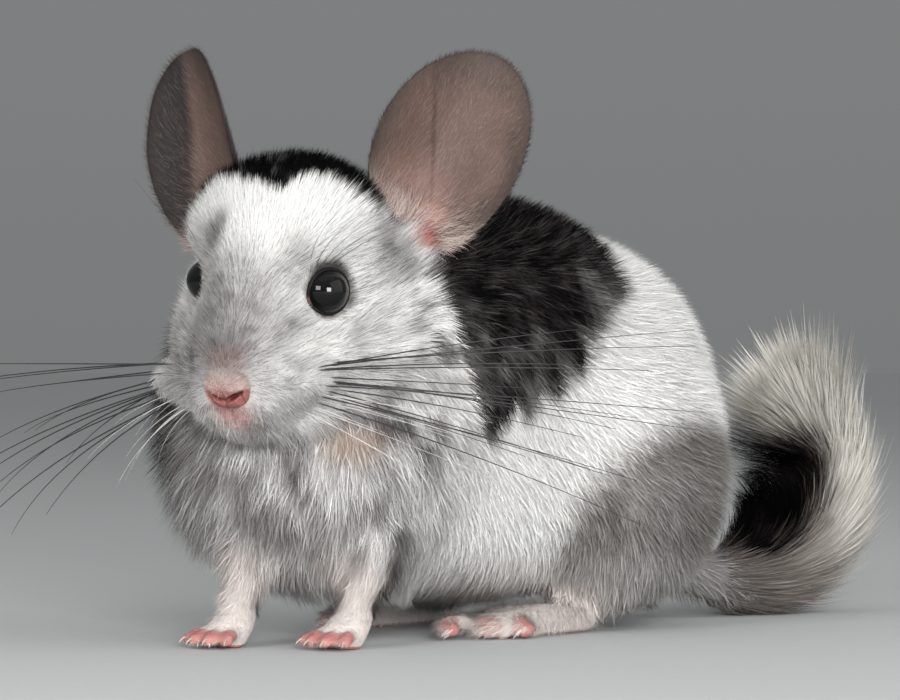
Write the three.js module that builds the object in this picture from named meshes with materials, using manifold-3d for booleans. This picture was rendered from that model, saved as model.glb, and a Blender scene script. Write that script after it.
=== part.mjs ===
// A life-size domestic chinchilla with a mosaic coat, crouched on all fours, its tail curled up behind it.
// Lengths are in millimetres. +Z is up, the animal faces -Y, and its left side is +X.
// The flesh is made of oval masses that melt into one another. A ball of facets is pulled onto them, and
// thin cuts then part the body into the pieces that a person would name.
import * as THREE from "three";
import { mergeVertices } from "three/addons/utils/BufferGeometryUtils.js";
import Module from "manifold-3d";

const wasm = await Module();
wasm.setup();

const DEGREE = Math.PI / 180;
const GAP = 0.3; // left between pieces that touch
const FARTHEST = 160; // no mass reaches this far from its own centre
const LEFT = 1;
const RIGHT = -1;

// Head: its own frame sits in the middle of the skull, faces -Y and is level
const headPlace = new THREE.Vector3(6, -64.5, 91);
const headYaw = 20 * DEGREE; // turned towards the animal's left
const headPitch = 23 * DEGREE; // nose held low
const headRoll = 4 * DEGREE; // the right side a little higher
const eyeRadius = 6.2;
const eyeHollow = 3.1; // how far the face is drawn in round each eye
const eyeApart = 35; // between the middles of the eyeballs
const eyeForward = 7;
const eyeUp = 5;
const lidThickness = 1.4;
const noseWidth = 11.6;
const earLength = 56;
const earWidth = 38;
const earThickness = 1.3;
const earCup = 8; // how far the rim stands in front of the bowl
// in the head's frame: the middle of the root, the way the tip points and the way the bowl opens
const ears = {
  left: { at: [22.8, 28.5, 18], up: [0.347, 0.536, 0.768], facing: [0.327, -0.837, 0.436], size: 1 },
  right: { at: [-28, 28.5, 15], up: [-0.46, 0.536, 0.71], facing: [-0.3, -0.85, 0.4], size: 1.08 },
};

// Body
const chestPlace = [-2, -42, 55];
const backPlace = [0, 18, 67];
const floorClearance = 5; // between the belly's coat and the floor

// Legs: where the palms stand, and the long hind feet from their heels to their toes
const forepawPlaces = { left: [25, -61], right: [-1, -78.5] };
const wristHeight = 9;
const hindFootApart = 52;
const heelAt = 33;
const hindToesAt = -23;

// Tail: the places that its middle line passes, from inside the rump to the tip
const tailLine = new THREE.CatmullRomCurve3([
  new THREE.Vector3(4, 76, 24),
  new THREE.Vector3(11, 99, 11.5),
  new THREE.Vector3(16, 121, 11.5),
  new THREE.Vector3(19, 137, 21),
  new THREE.Vector3(20, 143.5, 38),
  new THREE.Vector3(19.5, 142, 50),
  new THREE.Vector3(18, 134.5, 60),
]);
const tailRootEnd = 0.24; // shares of the tail's length where it is parted
const tailBaseEnd = 0.42;
const locksPerRing = 7;
const lockWidth = 9.5;
const lockThickness = 1.8;

// Half width of the tail under its long hair. Before the plume it is the outline of the short coat.
function tailThickness(share) {
  const along = Math.max(0, share - tailBaseEnd) / (1 - tailBaseEnd);
  return 11 - 6 * along * along;
}

// Whiskers
const whiskersPerSide = 12;
const longestWhisker = 98;

const materials = {
  whiteCoat: new THREE.MeshStandardMaterial({ color: 0xe9e6e0, roughness: 0.95 }),
  greyCoat: new THREE.MeshStandardMaterial({ color: 0x8f8d8b, roughness: 0.95 }),
  blackCoat: new THREE.MeshStandardMaterial({ color: 0x1d1c1d, roughness: 0.9 }),
  tailCoat: new THREE.MeshStandardMaterial({ color: 0xcfc8bd, roughness: 0.95 }),
  ear: new THREE.MeshStandardMaterial({ color: 0xb08f88, roughness: 0.8 }),
  pinkSkin: new THREE.MeshStandardMaterial({ color: 0xd8a79c, roughness: 0.6 }),
  eye: new THREE.MeshStandardMaterial({ color: 0x080607, roughness: 0.05 }),
};

// Forms: each gives about how far a point lies outside it

// An oval mass with its half sizes, turned about the vertical.
function mass(at, half, yaw = 0) {
  const cos = Math.cos(yaw);
  const sin = Math.sin(yaw);
  return (p) => {
    const dx = p.x - at[0];
    const dy = p.y - at[1];
    const x = (cos * dx + sin * dy) / half[0];
    const y = (cos * dy - sin * dx) / half[1];
    const z = (p.z - at[2]) / half[2];
    const near = Math.hypot(x, y, z);
    const slope = Math.hypot(x / half[0], y / half[1], z / half[2]);
    return (near * (near - 1)) / Math.max(slope, 1e-6);
  };
}

// Masses that melt into one another over the given depth.
function melted(masses, depth) {
  return (p) => {
    let outside = masses[0](p);
    for (const next of masses.slice(1)) {
      const other = next(p);
      const share = Math.max(depth - Math.abs(outside - other), 0) / depth;
      outside = Math.min(outside, other) - (share * share * depth) / 4;
    }
    return outside;
  };
}

// Solids

// Repeatable numbers between 0 and 1.
function seeded(seed) {
  let state = seed;
  return () => {
    state = (Math.imul(state, 1664525) + 1013904223) >>> 0;
    return state / 4294967296;
  };
}

// The solid that a closed geometry bounds.
function solidOf(geometry) {
  const bare = geometry.clone();
  for (const extra of ["normal", "uv"]) bare.deleteAttribute(extra);
  const merged = mergeVertices(bare, 1e-4);
  return new wasm.Manifold(
    new wasm.Mesh({
      numProp: 3,
      vertProperties: new Float32Array(merged.getAttribute("position").array),
      triVerts: new Uint32Array(merged.index.array),
    }),
  );
}

// A ball of fine facets pulled in onto a form from all round its centre. grow is a skin added to the form.
function wrapped(form, centre, detail, grow = 0) {
  const middle = new THREE.Vector3(...centre);
  const ball = new THREE.IcosahedronGeometry(1, detail);
  const bare = ball.clone();
  for (const extra of ["normal", "uv"]) bare.deleteAttribute(extra);
  const merged = mergeVertices(bare, 1e-4);
  const place = merged.getAttribute("position");
  const outwards = new THREE.Vector3();
  const point = new THREE.Vector3();
  for (let i = 0; i < place.count; i += 1) {
    outwards.fromBufferAttribute(place, i).normalize();
    let reach = FARTHEST;
    for (let step = 0; step < 80; step += 1) {
      point.copy(outwards).multiplyScalar(reach).add(middle);
      const outside = form(point) - grow;
      reach -= outside * 0.7;
      if (Math.abs(outside) < 0.01) break;
    }
    point.copy(outwards).multiplyScalar(reach).add(middle);
    place.setXYZ(i, point.x, point.y, point.z);
  }
  return solidOf(merged);
}

function oval(at, half, detail, yaw = 0) {
  return wrapped(mass(at, half, yaw), at, detail);
}

// A closed skin through oval sections. Each station is [place, half width, half thickness]; the width lies
// along across, turned square to the line, and both ends close to a point in the middle of their section.
function loft(stations, sides, across) {
  const places = stations.map(([at]) => at);
  const positions = [];
  const faces = [];
  const along = new THREE.Vector3();
  const wide = new THREE.Vector3();
  const thick = new THREE.Vector3();
  stations.forEach(([at, halfWidth, halfThickness], i) => {
    along.subVectors(places[Math.min(i + 1, places.length - 1)], places[Math.max(i - 1, 0)]).normalize();
    wide.copy(across).addScaledVector(along, -across.dot(along)).normalize();
    thick.crossVectors(along, wide);
    for (let side = 0; side < sides; side += 1) {
      const angle = (2 * Math.PI * side) / sides;
      const corner = at
        .clone()
        .addScaledVector(wide, halfWidth * Math.cos(angle))
        .addScaledVector(thick, halfThickness * Math.sin(angle));
      positions.push(...corner.toArray());
    }
  });
  const root = stations.length * sides;
  const tip = root + 1;
  positions.push(...places[0].toArray(), ...places.at(-1).toArray());
  for (let side = 0; side < sides; side += 1) {
    const next = (side + 1) % sides;
    for (let ring = 0; ring + 1 < stations.length; ring += 1) {
      const a = ring * sides + side;
      const b = ring * sides + next;
      faces.push(a, b, b + sides, a, b + sides, a + sides);
    }
    const last = (stations.length - 1) * sides;
    faces.push(root, next, side, tip, last + side, last + next);
  }
  const geometry = new THREE.BufferGeometry();
  geometry.setAttribute("position", new THREE.Float32BufferAttribute(positions, 3));
  geometry.setIndex(faces);
  return solidOf(geometry);
}

function joined(solids) {
  return solids.reduce((whole, next) => whole.add(next));
}

// The largest closed piece of a solid, without loose scraps or sealed hollows.
function largest(solid) {
  const pieces = solid.decompose();
  return pieces.reduce((best, next) => (next.volume() > best.volume() ? next : best));
}

function meshOf(name, solid, material) {
  const kept = largest(solid).getMesh();
  const stride = kept.numProp;
  const corners = new Float32Array(kept.numVert * 3);
  for (let i = 0; i < kept.numVert; i += 1) {
    corners.set(kept.vertProperties.subarray(i * stride, i * stride + 3), i * 3);
  }
  const geometry = new THREE.BufferGeometry();
  geometry.setAttribute("position", new THREE.BufferAttribute(corners, 3));
  geometry.setIndex(new THREE.BufferAttribute(new Uint32Array(kept.triVerts), 1));
  const mesh = new THREE.Mesh(geometry, material);
  mesh.name = name;
  return mesh;
}

function boxSolid(low, high) {
  const size = high.map((v, i) => v - low[i]);
  const box = new THREE.BoxGeometry(...size);
  box.translate(...low.map((v, i) => v + size[i] / 2));
  return solidOf(box);
}

function inSpace(solid, matrix) {
  return solid.transform(matrix.elements);
}

// Head, in its own frame

const headFrame = new THREE.Group();
headFrame.position.copy(headPlace);
headFrame.rotation.set(headPitch, headRoll, headYaw, "ZYX");
headFrame.updateMatrix();

const headMasses = [
  mass([0, 10, 6], [26.5, 33, 31]), // skull
  mass([13.5, 8, 19], [12.5, 18, 14]), // left temple
  mass([-13.5, 8, 19], [12.5, 18, 14]), // right temple
  mass([15.5, 3, -11], [18, 23, 18]), // left cheek
  mass([-15.5, 3, -11], [18, 23, 18]), // right cheek
  mass([0, -8, 7], [16, 18, 17]), // brow
  mass([0, -19, -3], [10.5, 16, 11]), // bridge of the nose
  mass([0, -18, -12], [17.5, 16, 12.5]), // muzzle
  mass([6.5, -26, -17.5], [8, 7.5, 6.6]), // left upper lip
  mass([-6.5, -26, -17.5], [8, 7.5, 6.6]), // right upper lip
  mass([0, -20, -24], [10.5, 10.5, 6.8]), // chin
];
const headBulk = melted(headMasses, 8);
const headMiddle = [0, 0, 0];

function eyeMiddle(side) {
  return [(side * eyeApart) / 2, -eyeForward, eyeUp];
}

// The way an eye looks: outwards, a little forwards and up.
function eyeLook(side) {
  return new THREE.Vector3(side * 0.84, -0.5, 0.2).normalize();
}

// The head's form with the hollow round each eye.
function headForm(p) {
  let outside = headBulk(p);
  for (const side of [LEFT, RIGHT]) {
    const from = new THREE.Vector3(...eyeMiddle(side)).addScaledVector(eyeLook(side), 3);
    outside += eyeHollow * Math.exp(-p.distanceToSquared(from) / 105);
  }
  return outside;
}

function lid(side) {
  const rise = eyeRadius * 0.42;
  const ring = Math.sqrt(eyeRadius ** 2 - rise ** 2) + lidThickness * 0.3;
  const torus = new THREE.TorusGeometry(ring, lidThickness, 5, 16);
  const turn = new THREE.Quaternion().setFromUnitVectors(new THREE.Vector3(0, 0, 1), eyeLook(side));
  torus.applyQuaternion(turn);
  const shift = eyeLook(side).multiplyScalar(rise);
  const middle = eyeMiddle(side);
  torus.translate(middle[0] + shift.x, middle[1] + shift.y, middle[2] + shift.z);
  return solidOf(torus);
}

const noseAt = [0, -34.2, -10.2];
const noseHalf = [noseWidth / 2, 3.6, 4.9];

function nostril(side) {
  return oval([side * 2.7, -37.4, -11], [1.9, 1.8, 1], 2, side * 0.5);
}

// Everything below the line of the mouth, which runs back from under the nose.
function belowMouth() {
  const outline = new THREE.Shape();
  outline.moveTo(-40, -21.5);
  outline.quadraticCurveTo(-28, -21.5, -19, -25);
  outline.quadraticCurveTo(-12, -29, -8, -40);
  outline.lineTo(-40, -40);
  const wedge = new THREE.ExtrudeGeometry(outline, { depth: 40, bevelEnabled: false, curveSegments: 6 });
  wedge.translate(0, 0, -20);
  // the outline's x runs along the head's length and the extrusion across it
  wedge.applyMatrix4(new THREE.Matrix4().makeBasis(
    new THREE.Vector3(0, 1, 0),
    new THREE.Vector3(0, 0, 1),
    new THREE.Vector3(1, 0, 0),
  ));
  return solidOf(wedge);
}

// Ears

function earFrameOf(side) {
  const ear = ears[side === LEFT ? "left" : "right"];
  const up = new THREE.Vector3(...ear.up).normalize();
  const facing = new THREE.Vector3(...ear.facing);
  facing.addScaledVector(up, -facing.dot(up)).normalize();
  const frame = new THREE.Group();
  frame.matrix.makeBasis(new THREE.Vector3().crossVectors(up, facing), facing.clone().negate(), up);
  frame.matrix.decompose(frame.position, frame.quaternion, frame.scale);
  frame.position.set(...ear.at);
  frame.scale.setScalar(ear.size);
  frame.updateMatrix();
  return frame;
}

// The bowl of an ear in its own frame: X outwards from the head, -Y the open side, Z towards the tip.
function earShell(side) {
  const rings = 5;
  const spokes = 24;
  const middle = [6.5, 19];
  const positions = [];
  const faces = [];
  const bowl = (x, z) => {
    const across = (x - middle[0]) / (earWidth / 2);
    const up = (z - middle[1]) / (earLength / 2);
    const crease = Math.max(0, -0.25 - across);
    return earCup * (1 - 0.75 * across * across - 0.35 * up * up - 1.6 * crease) * (1 - 0.25 * up);
  };
  for (const face of [0, 1]) {
    for (let ring = 0; ring <= rings; ring += 1) {
      const reach = ring / rings;
      const count = ring === 0 ? 1 : spokes;
      for (let spoke = 0; spoke < count; spoke += 1) {
        const angle = (2 * Math.PI * spoke) / spokes;
        const x = middle[0] + (reach * earWidth * Math.cos(angle)) / 2;
        const z = middle[1] + (reach * earLength * Math.sin(angle)) / 2;
        const thick = face * earThickness * (1.25 - 0.5 * reach);
        positions.push(side * x, bowl(x, z) + thick, z);
      }
    }
  }
  const half = 1 + rings * spokes;
  const index = (face, ring, spoke) =>
    face * half + (ring === 0 ? 0 : 1 + (ring - 1) * spokes + (spoke % spokes));
  const add = (a, b, c) => faces.push(...(side === LEFT ? [a, b, c] : [a, c, b]));
  for (let spoke = 0; spoke < spokes; spoke += 1) {
    add(index(0, 0, 0), index(0, 1, spoke), index(0, 1, spoke + 1));
    add(index(1, 0, 0), index(1, 1, spoke + 1), index(1, 1, spoke));
    for (let ring = 1; ring < rings; ring += 1) {
      const quad = (face) => [
        index(face, ring, spoke),
        index(face, ring + 1, spoke),
        index(face, ring + 1, spoke + 1),
        index(face, ring, spoke + 1),
      ];
      const [a, b, c, d] = quad(0);
      add(a, b, c);
      add(a, c, d);
      const [e, f, g, h] = quad(1);
      add(e, g, f);
      add(e, h, g);
    }
    const [inner, innerNext] = [index(0, rings, spoke), index(0, rings, spoke + 1)];
    const [back, backNext] = [index(1, rings, spoke), index(1, rings, spoke + 1)];
    add(inner, back, backNext);
    add(inner, backNext, innerNext);
  }
  const geometry = new THREE.BufferGeometry();
  geometry.setAttribute("position", new THREE.Float32BufferAttribute(positions, 3));
  geometry.setIndex(faces);
  return solidOf(geometry);
}

// The thick root that carries the bowl on the side of the skull.
function earRoot(side) {
  return oval([side * 4, earCup + 5.6, 1], [11, 5, 11], 3);
}

function earSolid(side) {
  return earShell(side).add(earRoot(side));
}

// Trunk, in the frame of the whole animal

const trunkMasses = [
  mass(chestPlace, [48, 37, 47], headYaw), // chest and shoulders
  mass([0, -8, 75], [44, 46, 48]), // withers
  mass(backPlace, [45, 58, 57]), // back
  mass([29, 45, 43], [27, 37, 41]), // left haunch
  mass([-29, 45, 43], [27, 37, 41]), // right haunch
  mass([0, 58, 59], [42, 42, 53]), // rump
  mass([0, 0, 36], [42, 58, 30]), // belly
  mass([2, -42, 88], [34, 29, 31], headYaw), // neck
  mass([-14, -46, 82], [32, 24, 32], headYaw), // ruff on the right, stretched by the turn of the head
];
const trunkForm = melted(trunkMasses, 10);
const trunkMiddle = [0, 8, 58];

// How the trunk is parted: the neck behind the head and the thighs at its sides.
function neckCut(grow = 0) {
  return oval([2, -52, 92], [46 + grow, 33 + grow, 34 + grow], 3);
}

function haunchCut(side, grow = 0) {
  return oval([side * 47, 45, 36], [35 + grow, 42 + grow, 42 + grow], 3);
}

// Legs

// A foreleg with its palm, parted at the wrist afterwards.
function foreleg(side) {
  const [x, y] = side === LEFT ? forepawPlaces.left : forepawPlaces.right;
  const stations = [
    [new THREE.Vector3(x + side * 3, y + 18, 48), 11, 12],
    [new THREE.Vector3(x + side * 2.5, y + 14, 32), 9.5, 10.5],
    [new THREE.Vector3(x + side, y + 10, 20), 7, 7.5],
    [new THREE.Vector3(x, y + 6.5, 12), 5.6, 5.8],
    [new THREE.Vector3(x, y + 4, 6.5), 5.8, 6],
    [new THREE.Vector3(x, y + 1, 2.4), 6.4, 5.6],
    [new THREE.Vector3(x, y, -0.6), 5.6, 4.6],
  ];
  return loft(stations, 12, new THREE.Vector3(1, 0, 0));
}

// A short finger or toe from its knuckle to its round tip.
function toe(from, to, radius) {
  const sizes = [0.8, 1, 0.9, 1, 0.6];
  const along = new THREE.Vector3().subVectors(to, from);
  const stations = sizes.map((size, i) => {
    const share = i / (sizes.length - 1);
    const arch = Math.sin(Math.PI * share) * radius * 0.6;
    const at = from.clone().addScaledVector(along, share);
    at.z += arch;
    return [at, radius * size, radius * size];
  });
  return loft(stations, 7, new THREE.Vector3(1, 0, 0));
}

const aboveFloor = boxSolid([-150, -150, 0], [150, 250, 250]);

function forepawToes(side) {
  const [x, y] = side === LEFT ? forepawPlaces.left : forepawPlaces.right;
  const toes = [-1.5, -0.5, 0.5, 1.5].map((place) => {
    const spread = headYaw * 0.5 + place * 0.24;
    const from = new THREE.Vector3(x + place * 3, y - 1 + Math.abs(place) * 1.2, 3.2);
    const reach = 10 - Math.abs(place);
    const to = new THREE.Vector3(from.x + Math.sin(spread) * reach, from.y - Math.cos(spread) * reach, 1.7);
    return toe(from, to, 2.1);
  });
  return joined(toes);
}

function hindFoot(side, grow = 0) {
  const x = (side * hindFootApart) / 2;
  const length = heelAt - hindToesAt;
  const stations = [
    [0.99, 3.2, 3.4, 3.6],
    [0.93, 4.8, 5, 4.4],
    [0.6, 5.4, 5.2, 4.2],
    [0.42, 6.4, 5, 4],
    [0.3, 7.6, 4.4, 3.4],
    [0.22, 5, 3.2, 2.8],
  ].map(([share, wide, thick, up]) => [
    new THREE.Vector3(x + side * (share < 0.5 ? 1.5 : 2), hindToesAt + share * length, up),
    wide + grow,
    thick + grow,
  ]);
  const sole = loft(stations, 12, new THREE.Vector3(1, 0, 0));
  const toes = [0, 1, 2].map((place) => {
    const outwards = side * (place - 1);
    const from = new THREE.Vector3(x + outwards * 5 + side * 1, hindToesAt + 15 + place * 5, 3.6);
    const to = new THREE.Vector3(x + outwards * 6 + side * 1.5, hindToesAt + 1.5 + place * 9, 2.6);
    return toe(from, to, 2.8 + grow);
  });
  return joined([sole, ...toes]);
}

// Tail

const tailLength = tailLine.getLength();

// A place on the tail's line or straight on from its end, with the way along it and away from its curl.
function tailFrame(share) {
  const inside = Math.min(share, 1);
  const at = tailLine.getPointAt(inside);
  const along = tailLine.getTangentAt(inside);
  const outer = new THREE.Vector3(0, along.z, -along.y).normalize();
  const across = new THREE.Vector3().crossVectors(along, outer);
  at.addScaledVector(along, (share - inside) * tailLength);
  return { at, along, outer, across };
}

// The body of the tail, in sections square to its line.
function tailBody() {
  const steps = 16;
  const stations = [];
  for (let i = 0; i <= steps; i += 1) {
    const share = i / steps;
    const half = tailThickness(share);
    stations.push([tailLine.getPointAt(share), half, half]);
  }
  return loft(stations, 12, new THREE.Vector3(1, 0, 0));
}

// A flat tapered lock of hair that lies along the tail. round is the angle about the tail, from its side
// towards the outside of the curl. follow is how far the lock bends with the tail.
function tailLock(share, round, length, lift, follow) {
  const depth = Math.min(3, tailThickness(share) * 0.5);
  const sizes = [
    [0, 0.75, 1],
    [0.5, 1, 1],
    [1, 0.09, 0.3],
  ];
  const start = tailFrame(share);
  const outwards = (frame) =>
    frame.across.clone().multiplyScalar(Math.cos(round)).addScaledVector(frame.outer, Math.sin(round));
  const wide = new THREE.Vector3().crossVectors(start.along, outwards(start));
  const stations = sizes.map(([reach, wideness, thickness]) => {
    const frame = tailFrame(share + (reach * follow * length) / tailLength);
    const rise = tailThickness(share) - depth + reach * (1.2 - 0.2 * reach) * length * Math.sin(lift);
    const at = frame.at
      .addScaledVector(outwards(frame), rise)
      .addScaledVector(start.along, reach * (1 - follow) * length);
    return [at, (wideness * lockWidth) / 2, (thickness * lockThickness) / 2];
  });
  return loft(stations, 4, wide);
}

// The locks of the plume, ring after ring towards the tip. Those outside the curl are longer and stand off
// more.
function tailLocks() {
  const random = seeded(5);
  const rings = 7;
  const first = tailBaseEnd + 0.03;
  const last = 0.95;
  const locks = [];
  for (let ring = 0; ring < rings; ring += 1) {
    const share = first + ((last - first) * ring) / (rings - 1);
    for (let i = 0; i < locksPerRing; i += 1) {
      const round = (2 * Math.PI * (i + 0.5 * (ring % 2) + 0.3 * (random() - 0.5))) / locksPerRing;
      const outside = (1 + Math.sin(round)) / 2;
      const length = 17 + 7 * outside + 6 * random();
      const lift = (9 + 5 * random() + 2.2 * ring) * DEGREE;
      locks.push(tailLock(share, round, length, lift, 1 - 0.3 * outside));
    }
  }
  return joined(locks);
}

// Everything farther along the tail than a share of its length, from a plane square to its line.
function beyond(share, past) {
  const along = tailLine.getTangentAt(share);
  const block = new THREE.BoxGeometry(160, 160, 160);
  block.translate(0, 0, 80 + past);
  block.applyQuaternion(new THREE.Quaternion().setFromUnitVectors(new THREE.Vector3(0, 0, 1), along));
  block.translate(...tailLine.getPointAt(share).toArray());
  return solidOf(block);
}

// Whiskers, in the head's frame

// The pad on one side of the muzzle that carries the whiskers.
function padCut(side, grow = 0) {
  return oval([side * 17, -24, -13.5], [10.5 + grow, 9.5 + grow, 9 + grow], 2);
}

function whisker(side, row, column, length) {
  const root = new THREE.Vector3(side * (11 + column * 1.4), -26 + column * 3.2, -9.4 - row * 2.7);
  const rise = (side === LEFT ? 0.04 : -0.04) - row * 0.15;
  const way = new THREE.Vector3(side, -0.3 + column * 0.13, rise).normalize();
  const bend = new THREE.Vector3(side * -0.1, 0.34, -0.14 - row * 0.03);
  const steps = 5;
  const stations = [];
  for (let i = 0; i <= steps; i += 1) {
    const share = i / steps;
    const at = root.clone().addScaledVector(way, share * length);
    at.addScaledVector(bend, share * share * length);
    const radius = 0.42 - 0.17 * share;
    stations.push([at, radius, radius]);
  }
  return loft(stations, 3, new THREE.Vector3(0, 0, 1));
}

function whiskersOf(side) {
  const random = seeded(side === LEFT ? 11 : 23);
  const whiskers = [];
  for (let i = 0; i < whiskersPerSide; i += 1) {
    const row = i % 4;
    const column = Math.floor(i / 4);
    const length = longestWhisker * (0.72 + 0.1 * column + 0.08 * random());
    whiskers.push(whisker(side, row + 0.3 * (random() - 0.5), column, length));
  }
  return joined(whiskers);
}

// Assembly

const part = new THREE.Group();
const trunkBall = wrapped(trunkForm, trunkMiddle, 7);
const trunkGrown = wrapped(trunkForm, trunkMiddle, 7, GAP);
const head = wrapped(headForm, headMiddle, 7);
const headGrown = wrapped(headForm, headMiddle, 7, GAP);

const nosePad = oval(noseAt, noseHalf, 2);
const nosePadGrown = oval(noseAt, noseHalf.map((v) => v + GAP), 2);
const cleft = boxSolid([-0.3, -45, -22.5], [0.3, -32, -13]);
const jawCut = belowMouth();

let face = joined([head, lid(LEFT), lid(RIGHT)]);
face = face.subtract(nosePadGrown).subtract(cleft);
const jaw = face.intersect(jawCut.translate(0, 0, -GAP * 1.5));
face = face.subtract(jawCut);
for (const [side, name] of [[LEFT, "left"], [RIGHT, "right"]]) {
  const radius = eyeRadius + GAP;
  face = face.subtract(oval(eyeMiddle(side), [radius, radius, radius], 3));
  const pad = face.intersect(padCut(side)).add(whiskersOf(side));
  face = face.subtract(padCut(side, GAP));
  const eyeball = oval(eyeMiddle(side), [eyeRadius, eyeRadius, eyeRadius], 3);
  headFrame.add(meshOf(`eye_${name}`, eyeball, materials.eye));
  headFrame.add(meshOf(`whisker_pad_${name}`, pad, materials.whiteCoat));
  const frame = earFrameOf(side);
  const toEar = frame.matrix.clone().invert();
  const trunkInHead = inSpace(trunkGrown, headFrame.matrix.clone().invert());
  const ear = earSolid(side).subtract(inSpace(headGrown, toEar)).subtract(inSpace(trunkInHead, toEar));
  frame.add(meshOf(`ear_${name}`, ear, materials.ear));
  headFrame.add(frame);
}
headFrame.add(meshOf("head", face, materials.whiteCoat));
headFrame.add(meshOf("lower_jaw", jaw, materials.whiteCoat));
headFrame.add(meshOf("nose", nosePad.subtract(nostril(LEFT)).subtract(nostril(RIGHT)), materials.pinkSkin));
part.add(headFrame);

let trunk = trunkBall.intersect(boxSolid([-150, -150, floorClearance - 1], [150, 250, 250]));
trunk = trunk.subtract(inSpace(headGrown, headFrame.matrix));
trunk = trunk.subtract(hindFoot(LEFT, GAP)).subtract(hindFoot(RIGHT, GAP));
part.add(meshOf("neck", trunk.intersect(neckCut()), materials.blackCoat));
let torso = trunk.subtract(neckCut(GAP));
for (const [side, name] of [[LEFT, "left"], [RIGHT, "right"]]) {
  part.add(meshOf(`haunch_${name}`, torso.intersect(haunchCut(side)), materials.whiteCoat));
  torso = torso.subtract(haunchCut(side, GAP));
  const aboveWrist = boxSolid([-150, -150, wristHeight + GAP / 2], [150, 250, 250]);
  const belowWrist = boxSolid([-150, -150, 0], [150, 250, wristHeight - GAP / 2]);
  const leg = foreleg(side);
  part.add(meshOf(`foreleg_${name}`, leg.intersect(aboveWrist).subtract(trunkGrown), materials.whiteCoat));
  const paw = joined([leg, forepawToes(side)]).intersect(belowWrist).subtract(trunkGrown);
  part.add(meshOf(`forepaw_${name}`, paw, materials.pinkSkin));
  part.add(meshOf(`hind_foot_${name}`, hindFoot(side).intersect(aboveFloor), materials.pinkSkin));
}
part.add(meshOf("torso", torso, materials.greyCoat));

const tail = tailBody().subtract(trunkGrown);
const tailRoot = tail.subtract(beyond(tailRootEnd, -GAP / 2)).intersect(aboveFloor);
const tailBase = tail.intersect(beyond(tailRootEnd, GAP / 2)).subtract(beyond(tailBaseEnd, -GAP / 2));
const plume = tail.intersect(beyond(tailBaseEnd, GAP / 2)).add(tailLocks());
part.add(meshOf("tail_root", tailRoot, materials.greyCoat));
part.add(meshOf("tail_base", tailBase.intersect(aboveFloor), materials.greyCoat));
part.add(meshOf("tail_plume", plume.intersect(aboveFloor), materials.tailCoat));

// The floor lies at z = 0 and the middle of the whole reach at x = y = 0.
part.updateMatrixWorld(true);
const reach = new THREE.Box3().setFromObject(part, true);
const middle = reach.getCenter(new THREE.Vector3());
part.position.set(-middle.x, -middle.y, 0);

export default part;
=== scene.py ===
import math

import bmesh
import bpy
import numpy as np
from bpy.props import FloatProperty, FloatVectorProperty, IntProperty, PointerProperty
from mathutils import Matrix, Vector
from mathutils.bvhtree import BVHTree


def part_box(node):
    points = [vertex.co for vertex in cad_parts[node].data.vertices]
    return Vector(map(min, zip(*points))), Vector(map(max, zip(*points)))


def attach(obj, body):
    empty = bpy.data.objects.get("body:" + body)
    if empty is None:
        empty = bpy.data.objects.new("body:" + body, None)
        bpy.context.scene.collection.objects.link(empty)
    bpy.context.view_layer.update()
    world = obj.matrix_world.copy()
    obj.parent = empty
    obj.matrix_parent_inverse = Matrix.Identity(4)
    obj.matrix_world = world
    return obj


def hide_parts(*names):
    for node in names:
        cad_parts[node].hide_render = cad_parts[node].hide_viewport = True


bl_info = {
    "name": "Mosaic Chinchilla",
    "version": (1, 0, 0),
    "blender": (4, 5, 0),
    "location": "View3D > Sidebar > Chinchilla",
    "description": "A life-size crouching chinchilla with a dense mosaic coat",
    "category": "Add Mesh",
}

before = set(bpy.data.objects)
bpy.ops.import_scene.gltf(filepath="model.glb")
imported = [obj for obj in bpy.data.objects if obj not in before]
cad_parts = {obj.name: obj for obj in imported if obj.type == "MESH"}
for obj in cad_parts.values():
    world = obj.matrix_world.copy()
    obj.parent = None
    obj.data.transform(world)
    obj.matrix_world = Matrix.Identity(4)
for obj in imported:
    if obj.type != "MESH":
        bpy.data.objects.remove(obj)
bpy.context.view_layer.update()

# Places are in millimetres. Body places start on the floor under the shoulders, with the animal's left
# at +X, its nose towards -Y and up at +Z. Head places start inside the skull and turn with the head.

LEFT, RIGHT = 1, -1
HEAD_AT = np.array([6.0, -64.5, 91.0])
HEAD_TURN = np.array(
    Matrix.Rotation(math.radians(20), 3, "Z")
    @ Matrix.Rotation(math.radians(4), 3, "Y")
    @ Matrix.Rotation(math.radians(23), 3, "X")
)
EYE_RADIUS = 6.2
EYE_AT = np.array([17.5, -7.0, 5.0])
EYE_NUDGE = {LEFT: np.array([0.0, 0.6, 1.6]), RIGHT: np.array([1.3, 1.0, 2.0])}
LID_RISE = 0.34
NOSE_AT = np.array([0.0, -34.2, -10.2])
NOSE_HALF = np.array([5.8, 3.6, 4.9])
NOSE_NUDGE = np.array([0.9, 0.3, -0.5])
EAR_MIDDLE = (6.5, 19.0)
EAR_WIDTH, EAR_LENGTH, EAR_CUP, EAR_THICKNESS = 38.0, 56.0, 8.0, 1.3
EARS = {
    LEFT: {
        "at": (22.8, 28.5, 18.0), "up": (0.347, 0.536, 0.768), "facing": (0.327, -0.837, 0.436), "size": 1.0,
    },
    RIGHT: {
        "at": (-28.0, 28.5, 15.0), "up": (-0.46, 0.536, 0.71), "facing": (-0.3, -0.85, 0.4), "size": 1.08,
    },
}
FOREPAWS = {LEFT: (25.0, -61.0), RIGHT: (-1.0, -78.5)}
HIND_FOOT_APART = 26.0
HIND_TOES = [(24.0, -18.8, 2.9), (29.7, -10.6, 2.8), (35.4, -1.6, 2.7)]
FORE_TOE_HALF, HIND_TOE_HALF = (2.1, 2.1, 1.9), (3.3, 3.3, 2.7)
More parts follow.
